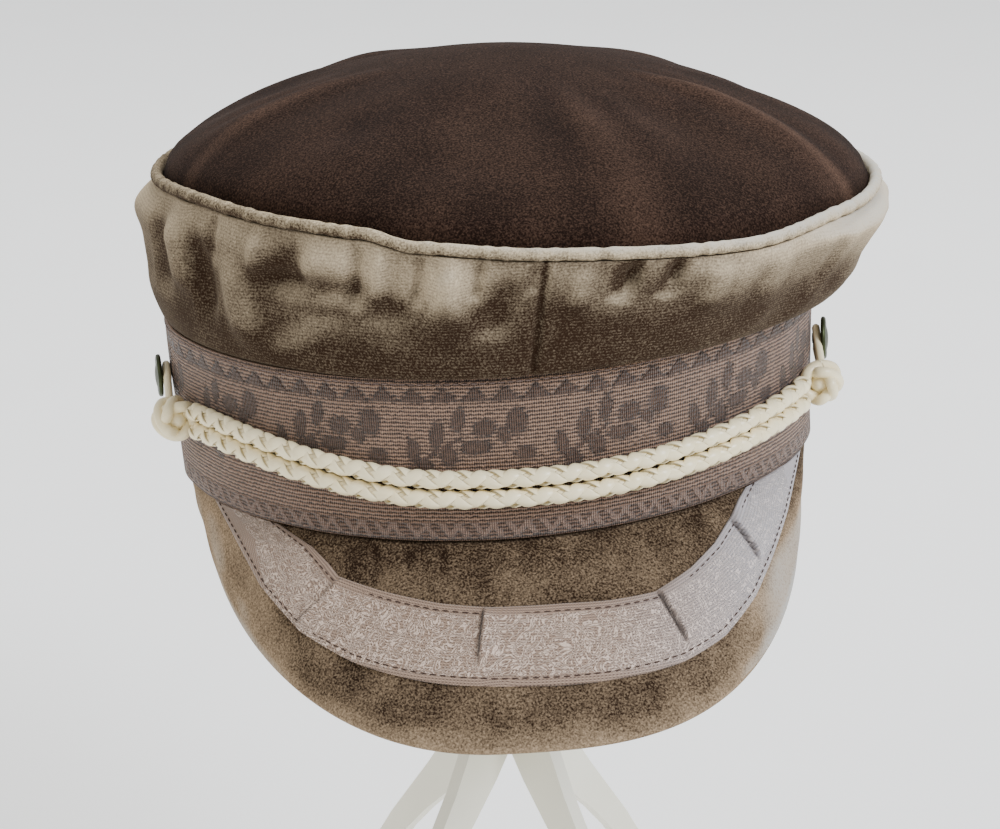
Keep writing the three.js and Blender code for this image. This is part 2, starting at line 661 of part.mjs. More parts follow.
const cap = new THREE.Group();
cap.add(piece('crown_top', crownTop(), darkVelvet));
cap.add(piece('crown_side', crownSide(), velvet));
cap.add(piece('crown_piping', pipingRing(), paleVelvet));
cap.add(piece('band', bandWall(RIBBON_WALL + CLEARANCE, VELVET_WALL), velvet));
cap.add(piece('band_ribbon', bandWall(0, RIBBON_WALL), jacquard));
cap.add(piece('peak', peakBody(0), velvet));
cap.add(piece('peak_ribbon', peakRibbon(), jacquard));
cap.add(piece('cord_upper', cord(CORD_SPACING / 2), ivoryBraid));
cap.add(piece('cord_lower', cord(-CORD_SPACING / 2), ivoryBraid));
for (const end of CORD_ENDS) {
  cap.add(piece(`knot_${end.side}`, knot(end), ivoryBraid));
  cap.add(piece(`loop_${end.side}`, loop(end), ivoryBraid));
  cap.add(piece(`button_${end.side}`, button(end), darkBrass));
}

cap.rotation.set(-rad(CAP_PITCH), -rad(CAP_ROLL), 0);
cap.position.set(CAP_SHIFT_X, CAP_SHIFT_Y, 0);

// Sets the cap down until the inside of its top is a clearance above the stand's dome
function gapOverDome() {
  cap.updateMatrixWorld(true);
  let least = Infinity;
  for (const turn of [90 - STAND_CROSSING, STAND_CROSSING - 90]) {
    for (let share = -0.9; share <= 0.9; share += 0.02) {
      for (const edge of [-STAND_PLATE / 2, STAND_PLATE / 2]) {
        const along = share * domeHalf;
        const place = new THREE.Vector3(along, edge, STAND_HEIGHT - domeFall(along));
        place.applyAxisAngle(new THREE.Vector3(0, 0, 1), rad(turn));
        cap.worldToLocal(place);
        least = Math.min(least, insideHeight(place.x, place.y) - place.z);
      }
    }
  }
  return least;
}

for (let round = 0; round < 3; round += 1) {
  cap.position.z -= gapOverDome() - CLEARANCE;
}

const model = new THREE.Group();
model.add(cap);
model.add(piece('hat_stand', stand(), whitePlastic));

// The origin is the middle of the bottom of the whole object's box
model.updateMatrixWorld(true);
const box = new THREE.Box3().setFromObject(model, true);
model.position.set(-(box.min.x + box.max.x) / 2, -(box.min.y + box.max.y) / 2, -box.min.z);

export default model;
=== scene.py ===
# %% [markdown]
# # A velvet fisherman cap on a folding stand
# The CAD frame gives the sizes and the places of every piece. This file makes the looks: velvet with
# a crushed nap, a jacquard ribbon, a plaited braid, the seams and stitches, and the moulded stand.
# The cap is drawn level, in millimetres, with the middle of its hem at 0,0,0, and one matrix then
# tips it and sets it down where the CAD band stands.

import math
import bpy
import bmesh
import numpy as np
from mathutils import Matrix, Vector


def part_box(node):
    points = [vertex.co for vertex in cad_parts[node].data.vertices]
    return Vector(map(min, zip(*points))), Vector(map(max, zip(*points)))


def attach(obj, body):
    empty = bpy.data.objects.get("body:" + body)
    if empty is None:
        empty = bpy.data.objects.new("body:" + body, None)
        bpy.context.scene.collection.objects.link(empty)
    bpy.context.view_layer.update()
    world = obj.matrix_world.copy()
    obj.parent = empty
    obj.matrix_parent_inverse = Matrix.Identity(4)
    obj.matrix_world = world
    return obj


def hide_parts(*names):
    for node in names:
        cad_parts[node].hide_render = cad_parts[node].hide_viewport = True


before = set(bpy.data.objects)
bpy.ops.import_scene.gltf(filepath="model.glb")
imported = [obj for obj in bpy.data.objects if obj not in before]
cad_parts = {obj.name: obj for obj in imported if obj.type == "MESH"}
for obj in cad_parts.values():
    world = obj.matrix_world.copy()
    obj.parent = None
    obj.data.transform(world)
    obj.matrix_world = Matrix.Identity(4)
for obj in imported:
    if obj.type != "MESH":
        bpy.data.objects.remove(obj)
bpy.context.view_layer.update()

# %% [markdown]
# The named sizes are the same as in the part's source, so every piece lands on its CAD solid.

# %% Sizes of the cap, in millimetres and degrees
BAND_HALF_WIDTH, BAND_HALF_DEPTH, BAND_HEIGHT, BAND_FLARE, HEM_LIFT = 92.5, 95.0, 45.0, 2.0, 4.0
VELVET_WALL, RIBBON_WALL, CLEARANCE = 2.0, 0.8, 0.3
OVERHANG_SIDE, OVERHANG_FRONT, CROWN_SHIFT, CROWN_RISE = 11.0, 18.0, 10.3, 36.0
CROWN_DROOP, RING_WAVE, PIPING_RADIUS, SIDE_BULGE = 3.3, 6.0, 1.7, 6.0
SIDE_FOLD_DEPTH, DOME_RISE, DOME_FULLNESS, TOP_FOLD_RISE = 3.0, 39.0, 1.68, 2.6
PEAK_REACH, PEAK_DROP, PEAK_ROOT, PEAK_NARROWING, PEAK_TUCK = 38.0, 45.0, 5.0, 6.5, 1.4
PEAK_WALL, PEAK_CAMBER, PEAK_LEFT, PEAK_RIGHT, PEAK_SPAN = 3.0, 2.0, 2.1, 2.85, 86.0
CORD_RADIUS, CORD_SPACING, KNOT_RING, KNOT_CORD = 2.35, 5.5, 3.5, 2.1
CAP_PITCH, CAP_ROLL = 6.0, 3.3

# %% Tables that shape the crown, the braid and the peak's ribbon
RING = [(-180, 0.65), (-147, 1.0), (-124, 0.78), (-113, 0.7), (-105, 0.25), (-86, 0.05),
        (-54, -0.15), (-32, 0.35), (0, 0.55), (90, 0.85)]
BULGE = [(-180, 0.95), (-140, 0.45), (-110, 0.1), (-80, 0.0), (-50, 0.3), (-20, 0.9), (20, 1.0),
         (90, 0.8), (140, 1.0)]
SAG = [(-180, -0.1), (-140, -0.08), (-110, -0.02), (-80, 0.0), (-50, 0.08), (-20, 0.13),
       (20, 0.06), (90, 0.0), (140, 0.0)]
# out, up, bag
SECTION = [(0.06, 0.0, 0.0), (0.26, 0.02, 0.35), (0.4, 0.2, 0.8), (0.56, 0.42, 0.85),
           (0.73, 0.64, 1.0), (0.89, 0.84, 1.1), (1.0, 1.0, 0.0)]
# azimuth, width, depth, lean, low, high
FOLDS = [(-158, 5, -0.8, 2, 0.2, 1.0), (-150, 5, 1.0, 0, 0.3, 0.95), (-144, 4, -0.9, -2, 0.1, 0.9),
         (-135, 5, 0.9, -6, 0.0, 0.8), (-126, 7, -0.9, 4, 0.55, 0.95), (-117, 6, 0.7, 0, 0.4, 0.95),
         (-108, 5, -0.6, 3, 0.35, 0.95), (-99, 4, 0.6, -2, 0.4, 0.95), (-92, 4, -0.5, 2, 0.3, 0.9),
         (-74, 3, -0.8, 1, 0.6, 1.0), (-67, 3, -0.7, 2, 0.6, 1.0), (-56, 6, 0.4, 4, 0.3, 0.9),
         (-38, 7, -0.6, 6, 0.0, 0.7), (-22, 7, 0.5, 4, 0.1, 0.9), (-4, 8, -0.9, 0, 0.0, 0.9),
         (24, 9, 0.6, 3, 0.1, 0.9), (50, 9, -0.7, -4, 0.1, 1.0), (78, 8, 0.6, 2, 0.1, 0.9),
         (104, 8, -0.7, -3, 0.1, 1.0), (132, 8, 0.7, 3, 0.0, 0.9), (160, 8, -0.8, -3, 0.1, 1.0)]
# azimuth, width, rise, from, to
TOP_FOLDS = [(-155, 10, 1.0, 0.3, 1.0), (-123, 9, 0.45, 0.7, 1.0), (-100, 22, -0.8, 0.35, 0.95),
             (-72, 7, 0.3, 0.3, 0.95), (-48, 14, -0.7, 0.35, 0.95), (-26, 8, 1.0, 0.3, 1.0),
             (20, 18, -0.7, 0.4, 1.0), (52, 12, 0.7, 0.3, 1.0), (95, 20, -0.6, 0.4, 0.95),
             (135, 12, 0.7, 0.3, 1.0), (175, 16, -0.7, 0.4, 1.0)]
# azimuth, height as a share of the band
CORD_ROUTE = [(-150.5, 0.58), (-145, 0.58), (-138, 0.555), (-129, 0.505), (-120, 0.445),
              (-111, 0.39), (-101, 0.345), (-88, 0.33), (-75, 0.33), (-63, 0.353), (-53, 0.385),
              (-42, 0.43), (-32, 0.465), (-23, 0.49)]
# knot azimuth and height, button azimuth and height
ENDS = {"left": (-155, 0.57, -170, 0.72), "right": (-18.5, 0.51, -7.5, 0.7)}
# inner angle, inner share, outer angle, outer share
PEAK_RIBBON = [(-41, 0.02, -60, 0.02), (-33.5, 0.11, -54, 0.22), (-30, 0.19, -46, 0.49),
               (-28, 0.25, -36.5, 0.64), (-19.8, 0.29, -26, 0.69), (-9.8, 0.33, -15, 0.71),
               (-1.5, 0.35, -5, 0.72), (8.5, 0.36, 6, 0.74), (16, 0.38, 16, 0.75),
               (24, 0.39, 27, 0.76), (32, 0.33, 37, 0.74), (38.5, 0.25, 46.5, 0.66),
               (44, 0.14, 54, 0.53), (46.5, 0.07, 61.5, 0.37), (49, 0.02, 72, 0.03)]
print("tables:", len(FOLDS), "side folds,", len(TOP_FOLDS), "top folds")

# %% [markdown]
# ## Helpers for shapes
# Each surface is a function of an azimuth and one more number, so one grid of points at any fineness
# gives the piece. NumPy works on the whole grid at once, which keeps the script quick.

# %% Smooth steps, bumps and tables round the cap
def smooth(value, low, high):
    t = np.clip((value - low) / (high - low), 0, 1)
    return t * t * (3 - 2 * t)


def bump(azimuth, centre, width):
    turn = (azimuth - centre + 180) % 360 - 180
    t = np.minimum(np.abs(turn) / width, 1)
    return (1 - t * t) ** 2


def around(table, azimuth):
    a = (azimuth + 180) % 360 - 180
    starts = np.array([row[0] for row in table], float)
    values = np.array([row[1] for row in table], float)
    i = np.clip(np.searchsorted(starts, a, side="right") - 1, 0, len(table) - 1)
    ends = np.append(starts[1:], starts[0] + 360)
    nexts = np.append(values[1:], values[0])
    return values[i] + (nexts[i] - values[i]) * smooth(a, starts[i], ends[i])


def window(value, low, high):
    edge = (high - low) / 3
    return smooth(value, low, low + edge) * (1 - 0.75 * smooth(value, high - edge, high))


def through(table, t):
    """A smooth curve through the table's rows, t from 0 to the last row's number."""
    rows = np.array(table, float)
    i = np.clip(np.floor(t).astype(int), 0, len(rows) - 2)
    f = (t - i)[..., None]
    a, b = rows[np.maximum(i - 1, 0)], rows[i]
    c, d = rows[i + 1], rows[np.minimum(i + 2, len(rows) - 1)]
    return 0.5 * (2 * b + (c - a) * f + (2 * a - 5 * b + 4 * c - d) * f ** 2
                  + (3 * b - a - 3 * c + d) * f ** 3)


def waves(seed, azimuth, height, count, narrow, wide):
    """A sum of seeded soft ripples, about -1 to 1, that closes round the cap."""
    rng = np.random.default_rng(seed)
    total = np.zeros(np.broadcast(azimuth, height).shape)
    for _ in range(count):
        turns = rng.integers(narrow, wide)
        lean, phase, rise = rng.uniform(-3, 3), rng.uniform(0, 6.28), rng.uniform(0.5, 3)
        total += np.sin(np.radians(azimuth) * turns + lean * height * 3 + phase) * np.sin(
            rise * height * 3 + phase * 2)
    return total / math.sqrt(count)


# %% [markdown]
# The hem is an ellipse, lifted a little at the sides. The band flares from it, the ring under the
# piping is a larger, tilted ellipse, and the top and the peak are drawn between such lines. The shapes
# could be read off the CAD meshes, but those are coarse, and a rule gives a surface at any fineness.

# %% Surfaces of the cap
def stack(x, y, z):
    return np.stack(np.broadcast_arrays(x, y, z), -1).astype(float)


def outward(azimuth):
    a = np.radians(azimuth)
    return stack(np.cos(a), np.sin(a), 0 * a)


def hem_height(azimuth):
    return HEM_LIFT * np.cos(np.radians(azimuth)) ** 2


def band_point(azimuth, height, inset):
    a = np.radians(azimuth)
    flare = BAND_FLARE * height / BAND_HEIGHT
    return stack((BAND_HALF_WIDTH + flare - inset) * np.cos(a),
                 (BAND_HALF_DEPTH + flare - inset) * np.sin(a), height + hem_height(azimuth))


def ring_plane(x):
    return BAND_HEIGHT + CROWN_RISE - math.tan(math.radians(CROWN_DROOP)) * x


def ring_point(azimuth, inset, drop):
    a = np.radians(azimuth)
    x = CROWN_SHIFT + (BAND_HALF_WIDTH + OVERHANG_SIDE - inset) * np.cos(a)
    y = (BAND_HALF_DEPTH + OVERHANG_FRONT - inset) * np.sin(a)
    return stack(x, y, ring_plane(x) + RING_WAVE * around(RING, azimuth) - drop)


def top_point(share, azimuth, depth):
    inset = PIPING_RADIUS + CLEARANCE
    rim = ring_point(azimuth, inset + depth, depth)
    x = CROWN_SHIFT + (rim[..., 0] - CROWN_SHIFT) * share
    z = ring_plane(x) + (rim[..., 2] - ring_plane(rim[..., 0])) * share ** 3
    z += DOME_RISE * np.maximum(1 - share ** DOME_FULLNESS, 0) ** (1 / DOME_FULLNESS)
    for centre, width, rise, start, end in TOP_FOLDS:
        grip = smooth(share, start, (start + end) / 2)
        release = 1 - smooth(share, start + (end - start) * 0.7, end)
        z += TOP_FOLD_RISE * rise * bump(azimuth, centre, width) * grip * release
    return stack(x, rim[..., 1] * share, z)


def peak_point(angle, share, depth):
    fullness = np.where(angle < 0, PEAK_LEFT, PEAK_RIGHT)
    sine, cosine = np.sin(np.radians(angle)), np.cos(np.radians(angle))
    along = np.maximum(cosine, 0) ** (2 / fullness)
    hem = hem_height(angle - 90)
    root = stack((BAND_HALF_WIDTH - PEAK_TUCK) * sine, -(BAND_HALF_DEPTH - PEAK_TUCK) * cosine,
                 hem - CLEARANCE)
    edge = stack((BAND_HALF_WIDTH - PEAK_NARROWING) * np.sign(sine) * np.abs(sine) ** (2 / fullness),
                 -PEAK_ROOT - (BAND_HALF_DEPTH + PEAK_REACH - PEAK_ROOT) * along,
                 hem * (1 - along) - PEAK_DROP * along - CLEARANCE)
    fall = edge - root
    fall /= np.linalg.norm(fall, axis=-1, keepdims=True)
    side = stack(cosine, sine, 0 * sine)
    normal = np.cross(side, fall)
    flip = np.sum(normal * stack(sine, -cosine, 0 * sine), axis=-1, keepdims=True) < 0
    normal = np.where(flip, -normal, normal)
    normal[..., 2] = np.maximum(normal[..., 2], 0)
    normal /= np.linalg.norm(normal, axis=-1, keepdims=True)
    camber = PEAK_CAMBER * 4 * share * (1 - share) * cosine
    return root + (edge - root) * np.asarray(share)[..., None] + normal * (camber - depth)[..., None]


# %% [markdown]
# The cap's place is found, not typed: its band is drawn with the same tilt, and the corner of its box
# is moved onto the corner of the CAD band's box.

# %% The matrix that sets the cap down
pitch, roll = [np.array(Matrix.Rotation(-math.radians(turn), 3, axis))
               for turn, axis in ((CAP_PITCH, "X"), (CAP_ROLL, "Y"))]
tilt = pitch @ roll
facets = np.linspace(-180, 180, 73)
drawn = np.concatenate([band_point(facets, h, i) for h in (0, BAND_HEIGHT)
                        for i in (RIBBON_WALL + CLEARANCE, RIBBON_WALL + CLEARANCE + VELVET_WALL)])
corner = (drawn @ tilt.T).min(0)
cap_origin = np.array(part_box("band")[0]) * 1000 - corner
print("cap origin, mm", cap_origin.round(2))


def to_row(points):
    return (np.asarray(points).reshape(-1, 3) @ tilt.T + cap_origin) / 1000


# %% [markdown]
# A piece of cloth is a closed skin: its points run over the outer face and back along the inner one.
# An open sheet with a Solidify modifier would do too, but a grid that holds both faces keeps the exact
# wall of the CAD piece. Each piece rides on the frame's one body and names the CAD node it stands for.

# %% Turn grids of points into pieces
def place_in_scene(name, data):
    thing = bpy.data.objects.new(name, data)
    bpy.context.scene.collection.objects.link(thing)
    return thing


def face_outwards(mesh):
    bm = bmesh.new()
    bm.from_mesh(mesh)
    bmesh.ops.recalc_face_normals(bm, faces=bm.faces)
    bm.to_mesh(mesh)
    bm.free()


def settle(piece, replaces=()):
    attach(piece, "root")
    if replaces:
        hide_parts(*replaces)
    print(piece.name, len(piece.data.polygons), "faces")


def make_piece(name, points, faces, material, replaces, uv=None, tone_and_painted_light=None):
    mesh = bpy.data.meshes.new(name)
    mesh.from_pydata(points.tolist(), [], faces.tolist() if hasattr(faces, "tolist") else faces)
    if uv is not None:
        layer = mesh.uv_layers.new(name="UVMap")
        loops = np.empty(len(mesh.loops), np.int32)
        mesh.loops.foreach_get("vertex_index", loops)
        layer.data.foreach_set("uv", np.asarray(uv, np.float32)[loops].ravel())
    # Each vertex carries a tone with painted light and shade in it, which the materials read
    if tone_and_painted_light is not None:
        shade = mesh.attributes.new("tone_and_painted_light", "FLOAT", "POINT")
        shade.data.foreach_set("value", np.asarray(tone_and_painted_light, np.float32).ravel())
    mesh.polygons.foreach_set("use_smooth", [True] * len(mesh.polygons))
    mesh.materials.append(material)
    face_outwards(mesh)
    settle(place_in_scene(name, mesh), (replaces,))


def ring_faces(rows, columns):
    """Faces of a closed torus-like grid, rows round the cap and columns round the section."""
    i, j = np.meshgrid(np.arange(rows), np.arange(columns), indexing="ij")
    i2, j2 = (i + 1) % rows, (j + 1) % columns
    quads = np.stack([i * columns + j, i2 * columns + j, i2 * columns + j2, i * columns + j2], -1)
    return quads.reshape(-1, 4)


def strip_faces(rows, columns):
    """The same with two open ends, each closed by one face."""
    quads = ring_faces(rows, columns).reshape(rows, columns, 4)[:-1].reshape(-1, 4).tolist()
    return quads + [list(range(columns)), list(range((rows - 1) * columns, rows * columns))]


# %% [markdown]
# ## Materials
# Every colour is an sRGB hex value that one function turns to linear light. One small function adds a
# node with its settings and links, so a material reads as a short list of steps.

# %% Colour and node helpers
def colour(code):
    parts = [int(code[i:i + 2], 16) / 255 for i in (1, 3, 5)]
    return (*[c / 12.92 if c <= 0.04045 else ((c + 0.055) / 1.055) ** 2.4 for c in parts], 1.0)


def fill(tree, node, inputs):
    """Gives each input a value, or links it to a socket or to a node's first output."""
    for key, value in inputs.items():
        if isinstance(value, bpy.types.Node):
            value = value.outputs[0]
        if isinstance(value, bpy.types.NodeSocket):
            tree.links.new(value, node.inputs[key])
        else:
            node.inputs[key].default_value = value


def add(tree, kind, *inputs, **settings):
    """Adds a node. Its operation may follow its kind. Inputs come in order or, by key, in a dictionary."""
    kind, _, operation = kind.partition(" ")
    node = tree.nodes.new(kind)
    if operation:
        node.operation = operation
    for key, value in settings.items():
        setattr(node, key, value)
    by_key = inputs and isinstance(inputs[0], dict)
    fill(tree, node, inputs[0] if by_key else dict(enumerate(inputs)))
    return node


def layered(tree, base, *layers):
    """Lays each colour over the ones before it, by its own share."""
    for share, layer in layers:
        base = add(tree, "ShaderNodeMix", {0: share, 6: base, 7: layer}, data_type="RGBA").outputs[2]
    return base


def start_material(name):
    material = bpy.data.materials.new(name)
    material.use_nodes = True
    tree = material.node_tree
    tree.nodes.clear()
    shader = add(tree, "ShaderNodeBsdfPrincipled")
    add(tree, "ShaderNodeOutputMaterial", {"Surface": shader})
    place = add(tree, "ShaderNodeTexCoord").outputs["Object"]
    return material, tree, shader, place


EASED = {"interpolation_type": "SMOOTHSTEP"}

# %% [markdown]
# Cotton velvet is a woven ground with a dense cut pile. It is dark where the eye looks down into the
# pile and pale where the pile leans over. A hair system would be heavy and still not show the stroked
# look, so the colour is mixed by a value of tone with painted light and shade in it, which the mesh
# carries at each vertex, and by slow blotches where hands have stroked it. Sheen gives the pale rim.

# %% Velvet
def velvet(name, dark, light, blotch_mm, blotch_share, sheen, rib_mm=0.0, grain=0.8):
    material, tree, shader, place = start_material(name)
    # The tone with painted light and shade in it, from the mesh
    tone_and_painted_light = add(tree, "ShaderNodeAttribute", attribute_name="tone_and_painted_light").outputs["Fac"]
    blotch = add(tree, "ShaderNodeTexNoise", {"Vector": place, "Scale": 1000 / blotch_mm, "Detail": 4.0,
                                             "Roughness": 0.62, "Distortion": 0.4})
    # The pile's tufts are about 0.4 mm, drawn at 0.55 mm so that they show
    pile = add(tree, "ShaderNodeTexNoise", {"Vector": place, "Scale": 1000 / 0.55, "Detail": 2.0,
                                           "Roughness": 0.6})
    tone = tone_and_painted_light
    for pattern, share in ((blotch, blotch_share), (pile, grain)):
        swing = add(tree, "ShaderNodeMath SUBTRACT", pattern, 0.5)
        tone = add(tree, "ShaderNodeMath MULTIPLY_ADD", swing, share, tone)
    if rib_mm:
        # Rows of tufts show as faint lines along the cloth
        flat = add(tree, "ShaderNodeUVMap", uv_map="UVMap")
        up = add(tree, "ShaderNodeSeparateXYZ", flat).outputs[1]
        rib = add(tree, "ShaderNodeMath SINE",
                  add(tree, "ShaderNodeMath MULTIPLY", up, 200 * math.pi / rib_mm))
        tone = add(tree, "ShaderNodeMath MULTIPLY_ADD", rib, 0.045, tone)
    tone = add(tree, "ShaderNodeMath POWER", add(tree, "ShaderNodeClamp", tone), 1.25)
    # Painted sheen: where the painted light runs high, the pile's tips are painted silver
    painted_sheen = add(tree, "ShaderNodeMath MULTIPLY", add(tree, "ShaderNodeMath SUBTRACT", tone_and_painted_light, 0.72), 1.5)
    painted_sheen = add(tree, "ShaderNodeClamp", {"Value": painted_sheen, "Max": 0.8})
    tips = add(tree, "ShaderNodeClamp", add(tree, "ShaderNodeMath MULTIPLY_ADD", pile, 2.2, -0.25))
    painted_sheen = add(tree, "ShaderNodeMath MULTIPLY", painted_sheen, tips)
    fill(tree, shader, {
        "Base Color": layered(tree, colour(dark), (tone, colour(light)), (painted_sheen, colour("#b4b7b4"))),
        "Roughness": 0.95, "Specular IOR Level": 0.1,
        "Sheen Weight": sheen, "Sheen Roughness": 0.4, "Sheen Tint": colour(light),
        "Normal": add(tree, "ShaderNodeBump", {"Height": pile, "Strength": 0.5, "Distance": 0.0003})})
    return material


SIDE_VELVET = velvet("cotton_velvet_mushroom", "#2a1b10", "#cfbc9d", 16, 0.22, 0.15, rib_mm=0.95,
                     grain=0.9)
BAND_VELVET = velvet("cotton_velvet_mushroom_wall", "#2c1f15", "#a8967a", 12, 0.4, 0.15)
# The top is a darker copy of the velvet: painted shade, where the eye looks down into its pile
TOP_VELVET = velvet("cotton_velvet_brown_painted_shade", "#160b06", "#5a4437", 18, 0.22, 0.04, grain=1.8)
PEAK_VELVET = velvet("cotton_velvet_stroked", "#21140a", "#a58e72", 11, 0.6, 0.2, grain=1.7)
PIPING_VELVET = velvet("velvet_bias_piping", "#34261a", "#c9b797", 7, 0.8, 0.1, grain=1.6)
print("velvets made")

# %% [markdown]
# A jacquard ribbon has a ribbed ground, about one rib each millimetre, and motifs of satin floats that
# lie over it. The piece's UV map is the ribbon laid flat, one unit to 100 mm, so the ribs and motifs
# follow the weave. The motifs could be painted as a picture, but rules stay sharp at any distance: each
# is a row of ellipses, a sprig with leaves and then a bud.

# %% The flat ribbon, and its sprig
SPRIG_PERIOD = 40.0
# centre along, centre up, half width, half height, turn in degrees
LEAVES = [(6.0, 24.0, 1.7, 3.3, 8), (12.5, 28.4, 1.8, 3.8, -10), (18.5, 32.2, 1.7, 3.4, -14),
          (25.5, 29.8, 3.1, 2.3, 10), (22.8, 24.6, 3.9, 1.9, 4), (15.6, 22.4, 2.2, 2.8, 20),
          (9.0, 19.2, 2.1, 2.1, 30), (34.2, 31.4, 2.7, 3.6, -8), (30.6, 27.6, 1.7, 2.1, 20),
          (36.0, 22.4, 2.6, 1.7, 0), (12.0, 23.4, 8.6, 0.55, 30), (3.0, 14.6, 3.0, 1.5, 0),
          (27.0, 16.4, 2.6, 1.6, 10), (17.0, 14.2, 2.4, 1.4, -8)]
SPRIG_LIFT, RIB_MM, WARP_MM, WEFT_MM = 1.0, 1.05, 0.62, 0.7


def ribbon_space(tree):
    """Millimetres along the ribbon and across it, and the UV map itself."""
    uv = add(tree, "ShaderNodeUVMap", uv_map="UVMap")
    split = add(tree, "ShaderNodeSeparateXYZ", uv)
    return (*[add(tree, "ShaderNodeMath MULTIPLY", split.outputs[i], 100.0) for i in (0, 1)], uv)


def centred(tree, value, middle):
    """How far a value is from the middle, either way."""
    return add(tree, "ShaderNodeMath ABSOLUTE", add(tree, "ShaderNodeMath SUBTRACT", value, middle))


def sprig(tree, along, up):
    """The distance to the nearest leaf, 1 at its outline."""
    tile = add(tree, "ShaderNodeMath FLOORED_MODULO", along, SPRIG_PERIOD)
    flat = add(tree, "ShaderNodeCombineXYZ", tile, up)
    nearest = SPRIG_PERIOD
    for x, z, half_width, half_height, turn in LEAVES:
        leaf = add(tree, "ShaderNodeMapping", {
            "Vector": flat, "Location": (x, z + SPRIG_LIFT, 0.0),
            "Rotation": (0.0, 0.0, math.radians(turn)),
            "Scale": (half_width, half_height, 1.0)}, vector_type="TEXTURE")
        size = add(tree, "ShaderNodeVectorMath LENGTH", leaf).outputs["Value"]
        nearest = add(tree, "ShaderNodeMath MINIMUM", nearest, size)
    return nearest


# %% [markdown]
# The weave is built up as the loom does it: the ribs, the floats over them with a painted shadow round
# each, triangles along the top, and a meander between two lines by the hem. Every part is a mask from 0
# to 1 that both tints and lifts the ribbon. The ribs are 1.05 mm apart, as counted on the photograph.

# %% Jacquard ribbon of the headband
# Millimetres: the triangles' period and height, and the hem border's middle and half height
TRIANGLE_PERIOD, TRIANGLE_HEIGHT, BORDER_MIDDLE, BORDER_HALF = 8.2, 6.2, 3.0, 1.9


